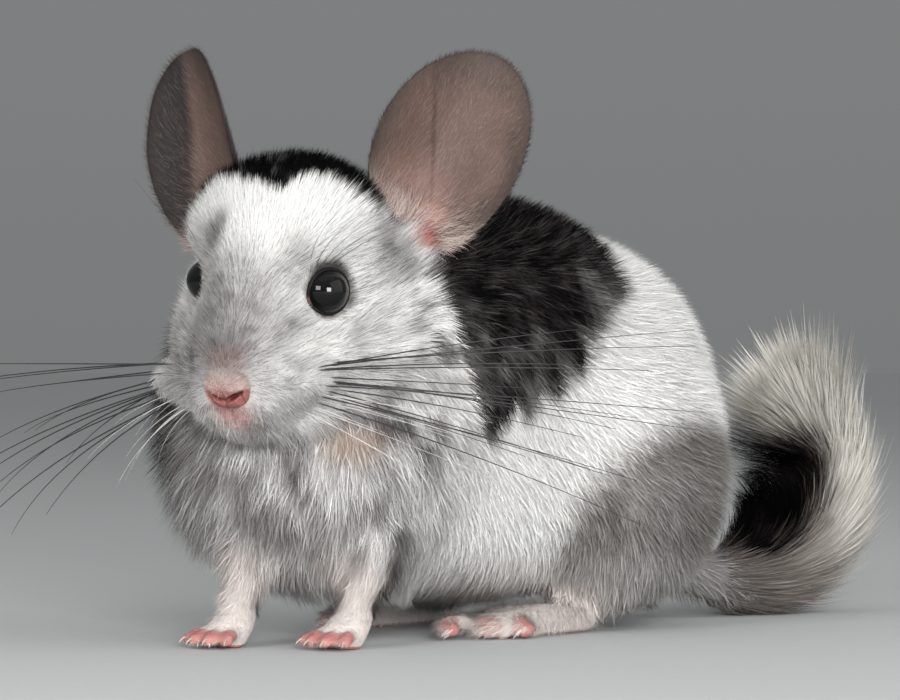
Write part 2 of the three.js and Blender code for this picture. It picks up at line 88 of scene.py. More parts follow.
TAIL_PLACES = [
    (4, 76, 24), (11, 99, 11.5), (16, 121, 11.5), (19, 137, 21), (20, 143.5, 38), (19.5, 142, 50),
    (18, 134.5, 60),
]
PLUME_FROM = 0.3
PLUME_BARE_OF_BODY_COAT = 0.43
SKIN_VOXEL = 0.00127
PIECE_TRIANGLES = 196000
BAKE_PATCH = 0.003

# The photograph is 900 pixels wide, and its camera stands level, as far off as its perspective shows.
CAMERA_AT = np.array([754.5, -749.5, 78.0])
CAMERA_TURN = 45
FOCAL_PIXELS, PHOTO_WIDTH = 3846, 900
SIDE_NAMES = {LEFT: "left", RIGHT: "right"}


def unit(v):
    v = np.asarray(v, float)
    return v / np.maximum(np.linalg.norm(v, axis=-1, keepdims=True), 1e-9)


def dot(a, b):
    return (a * b).sum(axis=-1)


def step(low, high, x):
    """0 below low, 1 above high, smooth between them."""
    t = np.clip((x - low) / (high - low), 0, 1)
    return t * t * (3 - 2 * t)


def eye_middle(side):
    return EYE_AT * np.array([side, 1, 1]) + EYE_NUDGE[side]


def eye_look(side):
    return unit([0.84 * side, -0.5, 0.2])


def round_eye(h, side):
    """Distance from the eye's middle, how far out along its look, and distance from that line."""
    away = h - eye_middle(side)
    reach = np.linalg.norm(away, axis=1)
    rise = dot(away, eye_look(side))
    return reach, rise, np.sqrt(np.maximum(reach**2 - rise**2, 0))


def from_head(points):
    return np.asarray(points, float) @ HEAD_TURN.T + HEAD_AT


def to_head(points):
    return (np.asarray(points, float) - HEAD_AT) @ HEAD_TURN


eye_low, eye_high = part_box("eye_left")
ORIGIN = (np.array(eye_low) + np.array(eye_high)) * 500 - from_head(EYE_AT)


def to_frame(points):
    return (np.asarray(points, float) + ORIGIN) / 1000


def to_body(points):
    return np.asarray(points, float) * 1000 - ORIGIN


# Noise on arrays of points


def hashed(cells, seed):
    """A number from 0 to 1 for each whole-number cell."""
    h = (cells[..., 0] * 73856093) ^ (cells[..., 1] * 19349663) ^ (cells[..., 2] * 83492791) ^ (seed * 40503)
    h = ((h ^ (h >> 15)) * 1274126177) & 0x7FFFFFFF
    h = ((h ^ (h >> 13)) * 1103515245) & 0x7FFFFFFF
    return ((h ^ (h >> 16)) & 0xFFFFFF) / 0xFFFFFF


def noise(points, size, seed=0):
    """Smooth noise from -1 to 1 whose bumps are about size wide. size may differ by axis."""
    p = np.asarray(points, float) / np.asarray(size, float)
    base = np.floor(p).astype(np.int64)
    f = p - base
    f = f * f * (3 - 2 * f)
    total = 0
    for x in (0, 1):
        for y in (0, 1):
            for z in (0, 1):
                share = (
                    (f[..., 0] if x else 1 - f[..., 0])
                    * (f[..., 1] if y else 1 - f[..., 1])
                    * (f[..., 2] if z else 1 - f[..., 2])
                )
                total = total + share * hashed(base + np.array([x, y, z]), seed)
    return total * 2 - 1


def nearest_clump(points, size, seed=0):
    """The middle of the clump that each point belongs to, with clumps about size apart."""
    p = points / size
    base = np.floor(p).astype(np.int64)
    best = np.full(len(p), 1e9)
    middle = np.zeros_like(p)
    for x in (-1, 0, 1):
        for y in (-1, 0, 1):
            for z in (-1, 0, 1):
                cell = base + np.array([x, y, z])
                at = cell + np.stack([hashed(cell, seed + k) for k in (1, 2, 3)], axis=-1)
                away = ((at - p) ** 2).sum(axis=-1)
                nearer = away < best
                best = np.where(nearer, away, best)
                middle[nearer] = at[nearer]
    return middle * size


# Colours and markings


def colour(red, green, blue):
    """A colour given as on a screen, from 0 to 255, in the linear values that Blender keeps."""
    c = np.array([red, green, blue]) / 255
    return np.where(c <= 0.04045, c / 12.92, ((c + 0.055) / 1.055) ** 2.4)


WHITE = colour(246, 244, 241)
PALE = colour(208, 205, 203)
GREY = colour(146, 143, 142)
HAUNCH = colour(106, 102, 98)
DARK = colour(62, 58, 58)
BLACK = colour(11, 10, 11)
LEG = colour(230, 219, 213)
NOSE_PINK = colour(196, 134, 128)
TOE_PINK = colour(190, 140, 134)
CREAM = colour(220, 216, 208)
TAN = colour(176, 148, 126)
RUST = colour(186, 92, 78)
LIP_PINK = colour(226, 186, 182)
BRIDGE_BROWN = colour(140, 112, 106)
SMOKE = colour(106, 97, 91)


def tint(base, over, share):
    return base + (over - base) * np.clip(share, 0, 1)[:, None]


def blob(points, middle, half, soft=0.35):
    """1 inside an oval and 0 outside it."""
    reach = np.linalg.norm((points - np.array(middle)) / np.array(half), axis=-1)
    return 1 - step(1 - soft, 1 + soft, reach)


def head_share(points):
    h = to_head(points)
    reach = np.linalg.norm((h - np.array([0, 4, 1])) / np.array([37, 42, 39]), axis=-1)
    return 1 - step(0.96, 1.12, reach)


def saddle_share(points):
    """The dark saddle over neck, withers and back, with its ragged lower edge on the flanks."""
    y, z = points[:, 1], points[:, 2]
    lower = np.interp(
        y,
        [-60, -40, -33, -29, -26, -22, -17, -8, 2, 10, 20, 30, 40, 47, 52, 60],
        [92, 98, 95, 84, 66, 50, 54, 61, 62, 68, 77, 83, 88, 96, 118, 150],
    )
    ragged = 4.5 * noise(points, (5, 3.2, 9), 31) + 3 * noise(points, (3, 1.6, 5), 32)
    ragged = ragged + 2 * noise(points, 1.1, 33)
    return step(-2, 3, z + ragged - lower)


def two_blobs(points, first, second):
    """The larger share of two ovals, each given by its middle, half sizes and softness."""
    return np.maximum(blob(points, *first), blob(points, *second))


def on_both_sides(points, middle, half, soft):
    """The share of an oval on the left and of its mirror image on the right."""
    return two_blobs(points, (middle, half, soft), (np.array(middle) * np.array([RIGHT, 1, 1]), half, soft))


# Patches behind the shoulders: colour, share, middle, half sizes and softness. A painted sheen on the knee,
# painted shade under the tail, the root of the tail, and the darker rear of the left haunch, partly grey hair
# and partly painted shade.
REAR_PATCHES = [
    # Painted sheen on the knee.
    (PALE * 0.7, 0.45, (52, 42, 34), (14, 12, 13), 0.8),
    # Painted shade under the tail.
    (DARK, 0.5, (14, 114, 12), (16, 20, 15), 0.4),
    (DARK, 0.6, (20, 94, 7), (12, 20, 11), 0.5),
    # Partly grey hair and partly painted shade at the rear of the haunch.
    (HAUNCH * 0.62, 0.5, (54, 52, 30), (14, 16, 26), 0.8),
]


def body_colours(points):
    """The markings of the trunk, the legs and the root of the tail, with a painted sheen and painted shade.
    """
    y, z = points[:, 1], points[:, 2]
    c = np.tile(WHITE, (len(points), 1))
    mottle = noise(points, 7, 1)
    fine = noise(points, 1.3, 2)
    grains = noise(points, (2.4, 2.4, 3.2), 3) + 0.6 * fine
    haunch = on_both_sides(points, (46, 56, 20), (40, 47, 38), 0.15)
    rump = blob(points, (0, 104, 30), (62, 36, 44), 0.3)
    c = tint(c, HAUNCH, np.maximum(haunch, rump) * (0.9 + 0.07 * mottle + 0.13 * grains))
    # The knee's painted sheen, painted shade under the tail and at the haunch's rear, and the tail's dark
    # root.
    for tone, share, middle, half, soft in REAR_PATCHES:
        c = tint(c, tone, share * blob(points, middle, half, soft))
    front = 1 - step(-42, -18, y)
    patches = noise(points, (5.5, 5.5, 7), 4) + 0.5 * grains
    c = chest_colours(c, points, front, mottle, fine, grains, patches)
    dark = tint(np.tile(GREY * 0.75, (len(points), 1)), BLACK, saddle_black(points, grains))
    c = c + (dark - c) * saddle_share(points)[:, None]
    legs = two_blobs(points, ((24, -58, 5), (13, 20, 18), 0.4), ((-2, -76, 5), (13, 18, 20), 0.4))
    feet = on_both_sides(points, (28, 2, 5), (18, 38, 9), 0.3)
    c = tint(c, LEG, np.maximum(0.9 * legs, 0.85 * feet) + 0.1 * fine)
    return tint(c, DARK, 0.85 * border_share(points))


def chest_colours(c, points, front, mottle, fine, grains, patches):
    """The grizzled chest and shoulders, the pale belly, the tan throat, and painted shade on the far side,
    under the chin and between the forelegs.
    """
    z = points[:, 2]
    light = two_blobs(points, ((29, -61, 37), (8, 10, 17), 0.5), ((42, -32, 62), (14, 15, 24), 0.6))
    grizzle = 0.7 + 0.26 * mottle + 0.34 * patches - 0.5 * light
    c = tint(c, GREY * 0.84, front * grizzle * (1 - step(70, 92, z)))
    belly = (1 - step(12, 26, z)) * (1 - front)
    c = tint(c, PALE, 0.4 * belly)
    shoulder = blob(points, (42, -46, 56), (13, 17, 11), 0.6)
    c = tint(c, DARK, shoulder * step(-0.1, 0.6, patches) * 0.8)
    knee = blob(points, (31, -50, 25), (15, 15, 14), 0.5)
    c = tint(c, DARK, knee * step(-0.1, 0.6, patches) * 0.55)
    middle = blob(points, (18, -73, 40), (3.5, 8, 12), 0.5)
    c = tint(c, DARK, middle * step(-0.5, 0.2, grains) * 0.85)
    tan = blob(points, (31, -62, 53), (8, 9, 5), 0.7)
    c = tint(c, TAN, 0.65 * tan + 0.2 * tan * fine)
    # Painted shade on the far side of the chest and shoulder, mottled by the patches.
    far = blob(points, (-49, -62, 52), (31, 31, 44), 0.4)
    c = tint(c, DARK * 0.8, far * (1.1 + 0.3 * patches))
    # Painted shadow under the chin, over the throat and upper chest.
    under_chin_shade = blob(points, (16, -70, 62), (24, 14, 9), 0.6)
    c = tint(c, GREY * 0.6, 0.5 * under_chin_shade)
    # Painted shade between the forelegs, mottled by the patches.
    between_legs_shade = blob(points, (12, -66, 22), (13, 16, 13), 0.7)
    return tint(c, DARK, between_legs_shade * (0.42 + 0.3 * patches))


def saddle_black(points, grains):
    """How black the saddle is, the more so higher up, with grey stripes down its sides."""
    y, z = points[:, 1], points[:, 2]
    stripes = 0.8 * noise(points, (12, 2.5, 14), 11) + 0.9 * noise(points, (3, 1.5, 4.5), 12)
    depth = step(66, 104, z)
    rear = step(12, 28, y) * (1 - step(98, 114, z))
    return 1.1 + 0.65 * stripes + 0.3 * grains + 0.9 * (depth - 0.4) - 0.75 * rear


def border_share(points):
    """Dark mottles where the white cheek meets the neck."""
    patches = noise(points, (3.6, 3.6, 4.5), 8) + 0.5 * noise(points, 1.5, 9)
    return blob(points, (36, -33, 88), (9, 9, 22), 0.6) * step(-0.1, 0.35, patches)


# Patches of the face: colour, share, how much it is ticked, middle, half sizes and softness, in head places.
# The bridge, its lower end and the brown above the nose, the muzzle, both whisker pads, over the far eye,
# the temple and the far cheek.
FACE_PATCHES = [
    (GREY, 0.82, 1, (0, -22, 4), (13, 16, 17), 0.5),
    (GREY * 0.7, 0.75, 1, (0, -32, -1), (7, 7, 6.5), 0.6),
    (BRIDGE_BROWN, 0.7, 0, (0.8, -34, -4), (6.5, 6, 4.5), 0.7),
    (PALE, 0.6, 1, (0, -30, -16), (15, 13, 11), 0.5),
    (GREY * 0.6, 0.85, 1, (-15, -26, -8), (9, 10, 10), 0.6),
    (GREY, 0.45, 1, (15, -27, -9), (8, 8, 8), 0.6),
    (GREY * 0.6, 0.85, 1, (-9, -13.5, 25), (3.6, 5, 7), 0.7),
    (GREY * 0.75, 0.85, 1, (28.5, 16, 11), (6, 9, 10), 0.6),
    (GREY * 0.8, 0.6, 1, (-26, -14, -8), (6, 9, 12), 0.7),
]

# Places across the head, from its right to its left, and how far back the black crown starts at each.
CROWN_ACROSS = [-26, -19, -15.8, -12, -8.5, -4.8, 1.5, 6.5, 8.5, 10.5, 15, 19, 24, 28]
CROWN_START = [-2, -1, 3, 2, 1, -1, -2.5, -3.5, 1.5, 5, 7, 8, 12, 17]


def head_colours(points):
    """The markings of the head: grey face, white forehead and cheeks, black crown and nape, pink lip, and
    painted shade along the mouth and round the eyes.
    """
    h = to_head(points)
    x, y, z = h[:, 0], h[:, 1], h[:, 2]
    c = np.tile(WHITE, (len(points), 1))
    fine = noise(points, 2.2, 21)
    mottle = noise(points, 6, 22)
    ticks = 0.25 * fine + 0.15 * noise(points, 1.0, 23)
    for tone, share, ticked, middle, half, soft in FACE_PATCHES:
        c = tint(c, tone, (share + ticked * ticks) * blob(h, middle, half, soft))
    for side in (LEFT, RIGHT):
        # Grey over each eye, partly grey hair and partly painted shade of the hollow round the eye.
        above = blob(h, (14.5 * side, -12.5, 17), (5, 6, 8), 0.6)
        c = tint(c, GREY * 0.75, (0.45 + ticks) * above)
        rim = np.linalg.norm(h - eye_middle(side), axis=-1) - EYE_RADIUS
        behind = step(-2, 4, y + 7 + 0.6 * (z - 5))
        ring = 1 - step(0.6 + 0.9 * behind, 2.2 + 2.4 * behind, rim + 0.5 * fine)
        c = tint(c, DARK * 0.6, 0.95 * ring)
        # Grey before the eye, partly grey hair and partly painted shade of the hollow.
        c = tint(c, GREY * 0.8, (0.6 + ticks) * blob(h, (13 * side, -17, 1.5), (4, 7, 3.5), 0.7))
        cheek = blob(h, (26 * side, 4, -8), (12, 16, 13), 0.6)
        c = tint(c, PALE * 0.68, cheek * (0.5 + 0.6 * mottle + 1.4 * ticks))
        lower = blob(h, (25 * side, -12, -6), (9, 8, 9), 0.8)
        c = tint(c, PALE * 0.66, lower * (0.4 + 0.4 * mottle + ticks))
    start = np.interp(x, CROWN_ACROSS, CROWN_START)
    crown = step(-1, 1.6, y - start + 1.3 * fine + 0.8 * mottle)
    crown = crown * step(18, 23, z + 1.5 * mottle) * (1 - step(24, 28, x))
    grey_hairs = step(0.3, 0.9, noise(points, (1.6, 2.6, 2), 24)) * 0.5
    dark = tint(np.tile(BLACK, (len(points), 1)), GREY, grey_hairs)
    c = c + (dark - c) * crown[:, None]
    nape = step(16, 24, y + 2 * fine) * step(-6, 4, z) * (1 - step(20, 26, np.abs(x)))
    c = tint(c, BLACK, 0.95 * nape)
    c = tint(c, LIP_PINK, 0.85 * lip_share(h))
    c = tint(c, DARK, 0.85 * border_share(points))
    # Painted shadow along the mouth's line, between the upper lip and the chin.
    return tint(c, DARK, 0.8 * mouth_share(h))


def lip_share(h):
    """1 on the pink skin round the nose and down to the mouth, in head places."""
    round_nose = 1 - step(0.98, 1.2, np.linalg.norm((h - NOSE_AT) / (NOSE_HALF + 0.4), axis=1))
    lip = blob(h, (0.6, -34, -18.0), (5.4, 7, 5.6), 0.8)
    below = step(2.5, -2.5, h[:, 2] - NOSE_AT[2])
    return np.maximum(round_nose * below, 0.85 * lip) * step(-27, -30, h[:, 1])


def mouth_share(h):
    """1 along the line of the mouth, in head places."""
    line = np.interp(h[:, 1], [-40, -28, -19], [-22.8, -22.8, -25.5])
    return np.exp(-(((h[:, 2] - line) / 1.0) ** 2)) * step(-14, -20, h[:, 1]) * step(12, 7, np.abs(h[:, 0]))


def coat_colours(points):
    """The colour of the coat and of the skin below it, with the rusty spot at the foot of the left ear."""
    share = head_share(points)[:, None]
    c = body_colours(points) * (1 - share) + head_colours(points) * share
    return tint(c, RUST, 0.8 * blob(points, (28, -30.5, 108.5), (4.6, 4.2, 3.8), 0.7))


# The lie of the coat: body places, and the way that the hair lies near each

LIE = [
    ((0, -30, 118), (0, 1, 0.1)), ((0, 0, 122), (0, 1, 0)), ((0, 40, 120), (0, 1, -0.25)),
    ((0, 80, 95), (0, 0.7, -0.7)), ((0, 98, 62), (0, 0.35, -1)), ((0, 92, 30), (0, 0.8, -0.6)),
    ((44, -20, 92), (0, 0.35, -0.9)), ((45, 15, 75), (0, 0.45, -0.85)), ((52, 46, 62), (0, 0.6, -0.8)),
    ((54, 52, 30), (0, 0.5, -0.85)), ((42, 5, 34), (0, 0.4, -0.9)), ((43, -40, 58), (0.1, 0.2, -0.95)),
    ((-44, -20, 92), (0, 0.35, -0.9)), ((-45, 15, 75), (0, 0.45, -0.85)), ((-52, 46, 62), (0, 0.6, -0.8)),
    ((-54, 52, 30), (0, 0.5, -0.85)), ((-42, 5, 34), (0, 0.4, -0.9)), ((-43, -40, 58), (-0.1, 0.2, -0.95)),
    ((35, -66, 48), (0.25, 0.05, -1)), ((0, -84, 52), (-0.1, -0.15, -1)), ((-30, -74, 48), (-0.3, 0.05, -1)),
    ((20, -70, 24), (0.05, -0.1, -1)), ((-8, -84, 26), (-0.1, -0.1, -1)), ((2, -40, 8), (0, 0.8, -0.3)),
    ((0, 30, 6), (0, 1, 0)), ((30, 20, 8), (0.2, 0.5, -0.8)), ((-30, 20, 8), (-0.2, 0.5, -0.8)),
    ((26, -60, 4), (0.3, -1, -0.3)), ((0, -78, 4), (0.3, -1, -0.3)),
    ((28, -5, 4), (0, -1, -0.1)), ((-28, -5, 4), (0, -1, -0.1)),
    ((28, 25, 5), (0, -1, -0.1)), ((-28, 25, 5), (0, -1, -0.1)),
]
LIE_REACH = 19.0


def fore_toes(side):
    """Middles of the four toes of a forepaw, and the way each points."""
    x, y = FOREPAWS[side]
    toes = []
    for place in (-1.5, -0.5, 0.5, 1.5):
        turn = math.radians(10) + place * 0.24
        way = np.array([math.sin(turn), -math.cos(turn), 0])
        knuckle = np.array([x + place * 3, y - 1 + abs(place) * 1.2, 2.3])
        toes.append((knuckle + way * (9.0 - abs(place)), way))
    return toes


def hind_toes(side):
    """Middles of the three toes of a hind foot."""
    return [np.array(at) * np.array([side, 1, 1]) for at in HIND_TOES]


def toe_distance(points):
    """Distance from the nearest toe's middle."""
    middles = [at for side in (LEFT, RIGHT) for at, _ in fore_toes(side)]
    middles += [at for side in (LEFT, RIGHT) for at in hind_toes(side)]
    return np.min([np.linalg.norm(points - at, axis=1) for at in middles], axis=0)


def lie_of_coat(points, normals, random, wobble=0.3):
    """The way that the hair lies at each point, along the surface."""
    body = np.zeros_like(points)
    for at, way in LIE:
        near = np.exp(-((points - np.array(at)) ** 2).sum(axis=-1) / (2 * LIE_REACH**2)) + 1e-9
        body += near[:, None] * unit(way)
    body = unit(body)
    h = to_head(points)
    away = unit(h - np.array([0, -37, -9])) + np.array([0, 0.35, -0.15])
    for side in (LEFT, RIGHT):
        off = h - eye_middle(side)
        distance = np.linalg.norm(off, axis=1)
        ring = unit(off - eye_look(side) * dot(off, eye_look(side))[:, None])
        away = away + ring * (1.5 * (1 - step(EYE_RADIUS + 0.5, EYE_RADIUS + 5, distance)))[:, None]
    share = head_share(points)[:, None]
    way = body * (1 - share) + unit(away) @ HEAD_TURN.T * share
    way = unit(way - normals * dot(way, normals)[:, None])
    drift = noise(points, 22, 41) + 0.8 * noise(points, 7, 42)
    turn = wobble * (drift + 0.5 * random.normal(size=len(points)))
    across = np.cross(normals, way)
    return unit(way * np.cos(turn)[:, None] + across * np.sin(turn)[:, None])


# Meshes from arrays


def drop_selection():
    if bpy.context.object and bpy.context.object.mode != "OBJECT":
        bpy.ops.object.mode_set(mode="OBJECT")
    bpy.ops.object.select_all(action="DESELECT")


def mesh_piece(name, points, faces, finish, colours=None, normals=None, unwrap=None):
    """A piece from points in body millimetres and faces of three or four corners."""
    mesh = bpy.data.meshes.new(name)
    faces = np.asarray(faces, np.int32)
    mesh.vertices.add(len(points))
    mesh.vertices.foreach_set("co", to_frame(points).astype(np.float32).ravel())
    mesh.loops.add(faces.size)
    mesh.loops.foreach_set("vertex_index", faces.ravel())
    mesh.polygons.add(len(faces))
    mesh.polygons.foreach_set("loop_start", np.arange(0, faces.size, faces.shape[1], dtype=np.int32))
    mesh.update(calc_edges=True)
    if colours is not None:
        store_colours(mesh, colours)
    if unwrap is not None:
        layer = mesh.uv_layers.new(name="OFBake")
        layer.data.foreach_set("uv", unwrap[faces.ravel()].astype(np.float32).ravel())
    if normals is None:
        mesh.shade_flat()
    else:
        mesh.normals_split_custom_set_from_vertices(normals.astype(np.float32))
    mesh.materials.append(finish)
    piece = bpy.data.objects.new(name, mesh)
    bpy.context.scene.collection.objects.link(piece)
    return piece


def store_colours(mesh, colours):
    layer = mesh.color_attributes.new("coat_colour", "FLOAT_COLOR", "POINT")
    with_alpha = np.concatenate([colours, np.ones((len(colours), 1))], axis=1)
    layer.data.foreach_set("color", with_alpha.astype(np.float32).ravel())


def store_number(mesh, name, values):
    layer = mesh.attributes.new(name, "FLOAT", "POINT")
    layer.data.foreach_set("value", values.astype(np.float32))


def read_number(mesh, name):
    values = np.zeros(len(mesh.vertices), np.float32)
    mesh.attributes[name].data.foreach_get("value", values)
    return values.astype(float)


def read_points(mesh):
    co = np.zeros(len(mesh.vertices) * 3, np.float32)
    mesh.vertices.foreach_get("co", co)
    return to_body(co.reshape(-1, 3))


def read_normals(mesh):
    values = np.zeros(len(mesh.vertices) * 3, np.float32)
    mesh.vertices.foreach_get("normal", values)
    return values.reshape(-1, 3).astype(float)


class Surface:
    """The triangles of a piece, to scatter roots over."""

    def __init__(self, piece, numbers=()):
        mesh = piece.data
        mesh.calc_loop_triangles()
        corners = np.zeros(len(mesh.loop_triangles) * 3, np.int32)
        mesh.loop_triangles.foreach_get("vertices", corners)
        self.triangles = corners.reshape(-1, 3)
        self.points = read_points(mesh)
        self.normals = read_normals(mesh)
        self.numbers = {name: read_number(mesh, name) for name in numbers}
        a, b, c = (self.points[self.triangles[:, k]] for k in range(3))
        self.areas = np.linalg.norm(np.cross(b - a, c - a), axis=-1) / 2
        self.middles = (a + b + c) / 3

    def mean(self, values):
        return values[self.triangles].mean(axis=1)

    def scatter(self, count, density, random):
        """Roots spread evenly by area times density, with their normals and numbers."""
        reach = np.cumsum(self.areas * density)
        draws = (np.arange(count) + random.random(count)) / count * reach[-1]
        picks = self.triangles[np.minimum(np.searchsorted(reach, draws), len(reach) - 1)]
        u, v = random.random(count), random.random(count)
        over = u + v > 1
        u, v = np.where(over, 1 - u, u), np.where(over, 1 - v, v)
        shares = np.stack([1 - u - v, u, v], axis=1)
        roots = (self.points[picks] * shares[..., None]).sum(axis=1)
        normals = unit((self.normals[picks] * shares[..., None]).sum(axis=1))
        return roots, normals, {n: (v[picks] * shares).sum(axis=1) for n, v in self.numbers.items()}


def blades(name, spines, sides, surface, widths, thickness, colours, finish, unwrap, softness):
    """Closed, tapered, three-sided blades along spines, joined as one piece.

    spines has the points of each blade from root to tip, widths its half width at all but the tip, and
    surface the direction away from the skin. softness is how far the shading follows the skin below, or
    None for the faces' own shading, as for free hairs that are seen from behind."""
    count, stations = len(spines), spines.shape[1] - 1
    along = unit(np.gradient(spines, axis=1))
    ups = unit(surface[:, None, :] - along * dot(along, surface[:, None, :])[..., None])
    rise = ups[:, :stations] * (widths * thickness)[..., None]
    out = sides[:, None, :] * widths[..., None]
    body = spines[:, :stations]
    rings = np.stack([body + out, body + rise, body - out], axis=2)
    points = np.concatenate([rings.reshape(count, stations * 3, 3), spines[:, -1:]], axis=1)
    side_normal = sides[:, None, :] * 0.8
    top = ups[:, :stations]
    ring_normals = np.stack([top * 0.6 + side_normal, top, top * 0.6 - side_normal], axis=2)
    normals = None
    if softness is not None:
        own = np.concatenate([unit(ring_normals).reshape(count, stations * 3, 3), ups[:, -1:]], axis=1)
        normals = unit(own * (1 - softness) + surface[:, None, :] * softness).reshape(-1, 3)
    ring_colours = np.repeat(colours[:, :stations, None, :], 3, axis=2)
    tones = np.concatenate([ring_colours.reshape(count, stations * 3, 3), colours[:, -1:]], axis=1)
    faces = [(0, 2, 1)]
    for k in range(stations - 1):
        for i in range(3):
            j = (i + 1) % 3
            faces += [(3 * k + i, 3 * k + j, 3 * k + 3 + j), (3 * k + i, 3 * k + 3 + j, 3 * k + 3 + i)]
    last = 3 * (stations - 1)
    faces += [(last + i, last + (i + 1) % 3, 3 * stations) for i in range(3)]
    per = stations * 3 + 1
    faces = (np.array(faces)[None] + (np.arange(count) * per)[:, None, None]).reshape(-1, 3)
    reach = np.repeat(np.linspace(0, 1, stations + 1)[:stations], 3).tolist() + [1.0]
    spread = [0.5, 0.0, -0.5] * stations + [0.0]
    patch = np.stack([np.array(spread), np.array(reach) - 0.5], axis=1) * BAKE_PATCH
    unwrap = (unwrap[:, None, :] + patch[None]).reshape(-1, 2)
    return mesh_piece(name, points.reshape(-1, 3), faces, finish, tones.reshape(-1, 3), normals, unwrap)


def tufts(roots, normals, ways, lengths, root_lift, tip_lift, stations, gather=0.0, clump=5.0, sink=0.6):
    """The spines of tufts that leave the skin at root_lift degrees and lean over to tip_lift."""
    low, high = np.radians(root_lift), np.radians(tip_lift)
    start = ways * np.cos(low)[:, None] + normals * np.sin(low)[:, None]
    end = ways * np.cos(high)[:, None] + normals * np.sin(high)[:, None]
    t = np.linspace(0, 1, stations + 1)[None, :, None]
    line = start[:, None] * t + (end - start)[:, None] * t**2 / 2
    spines = roots[:, None] + lengths[:, None, None] * line - normals[:, None] * sink
    if gather:
        pull = nearest_clump(roots, clump, 7) - roots
        pull -= normals * dot(pull, normals)[:, None]
        spines = spines + pull[:, None] * gather * t**1.5
    return spines


def map_place(across, along):
    """A place on a flat map from two shares, kept clear of the map's edges."""
    return np.stack([0.02 + 0.96 * across, 0.02 + 0.96 * along], axis=1)


def head_unwrap(points):
    """A place on a flat map of the head: round it, and up it."""
    away = unit(points - HEAD_AT) @ HEAD_TURN
    height = np.arcsin(np.clip(away[:, 2], -1, 1)) / math.pi + 0.5
    return map_place(np.arctan2(away[:, 0], -away[:, 1]) / math.tau + 0.5, height)


def trunk_unwrap(points):
    """A place on a flat map of the trunk: round its long axis, and along it."""
    along = np.clip((points[:, 1] + 110) / 235, 0, 1)
    return map_place(np.arctan2(points[:, 0], points[:, 2] - 55) / math.tau + 0.5, along)


# Finishes


class Wire:
    """An output of a node, which sums turn into Math nodes."""

    def __init__(self, finish, socket):
        self.finish, self.socket = finish, socket

    def _sum(self, how, first, second):
        return self.finish.node("ShaderNodeMath", {"operation": how}, {0: first, 1: second})

    def __add__(self, other):
        return self._sum("ADD", self, other)

    def __radd__(self, other):
        return self._sum("ADD", other, self)

    def __rsub__(self, other):
        return self._sum("SUBTRACT", other, self)

    def __mul__(self, other):
        return self._sum("MULTIPLY", self, other)

    def __rmul__(self, other):
        return self._sum("MULTIPLY", other, self)


class Finish:
    """A material, with one call for each kind of node."""

    def __init__(self, name, roughness=0.6, **constants):
        self.material = bpy.data.materials.new(name)
        self.material.use_nodes = True
        self.tree = self.material.node_tree
        self.shader = self.tree.nodes["Principled BSDF"]
        self.shader.inputs["Roughness"].default_value = roughness
        for socket, value in constants.items():
            self.shader.inputs[socket.replace("_", " ")].default_value = value
        self.place = self.node("ShaderNodeTexCoord", out="Object")

    def node(self, kind, settings=None, sockets=None, out=0):
        node = self.tree.nodes.new(kind)
        for name, value in (settings or {}).items():
            if name == "stops":
                ramp = node.color_ramp
                for k, (at, tone) in enumerate(value):
                    stop = ramp.elements[k] if k < 2 else ramp.elements.new(at)
                    stop.position, stop.color = at, (*tone, 1)
            else:
                setattr(node, name, value)
        for name, value in (sockets or {}).items():
            if isinstance(value, Wire):
                self.tree.links.new(value.socket, node.inputs[name])
            else:
                node.inputs[name].default_value = value
        return Wire(self, node.outputs[out])

    def noise(self, size, detail=3.0, rough=0.55):
        """Noise from 0 to 1 whose bumps are about size metres wide."""
        sockets = {"Vector": self.place, "Scale": 1 / size, "Detail": detail, "Roughness": rough}
        return self.node("ShaderNodeTexNoise", None, sockets, "Fac")

    def ramp(self, value, stops):
        return self.node("ShaderNodeValToRGB", {"stops": stops}, {"Fac": value}, "Color")

    def mix(self, share, first, second, how="MIX"):
        settings = {"data_type": "RGBA", "blend_type": how}
        tones = [t if isinstance(t, Wire) else (*t, 1.0) for t in (first, second)]
        return self.node("ShaderNodeMix", settings, {0: share, 6: tones[0], 7: tones[1]}, 2)

    def darkened(self, share, tone, value, darkest, low=0.3, high=0.7):
        """tone, times a ramp from the darkest colour at low to white at high, in the given share."""
        return self.mix(share, tone, self.ramp(value, [(low, darkest), (high, (1.0,) * 3)]), "MULTIPLY")

    def attribute(self):
        return self.node("ShaderNodeAttribute", {"attribute_name": "coat_colour"}, None, "Color")

    def cells(self, scale, feature):
        """Distance from the middles, or for DISTANCE_TO_EDGE from the edges, of small cells."""
        sockets = {"Vector": self.place, "Scale": scale}
        return self.node("ShaderNodeTexVoronoi", {"feature": feature}, sockets, "Distance")

    def bump(self, height, depth):
        return self.node("ShaderNodeBump", None, {"Height": height, "Distance": depth}, "Normal")

    def feed(self, **sockets):
        for name, value in sockets.items():
            self.tree.links.new(value.socket, self.shader.inputs[name.replace("_", " ")])
        return self.material


def coat_finish(name):
    made = Finish(name, 0.9, Specular_IOR_Level=0.0)
    speckle = made.noise(0.0011, 2.0)
    return made.feed(Base_Color=made.darkened(0.2, made.attribute(), speckle, (0.45,) * 3))


def underfur_finish():
    made = Finish("underfur", 0.9, Specular_IOR_Level=0.04)
    strands = made.noise(0.0009, 4.0, 0.7)
    tone = made.darkened(0.6, made.attribute(), strands, (0.55,) * 3, 0.3, 0.75)
    return made.feed(Base_Color=tone, Normal=made.bump(strands, 0.0006))


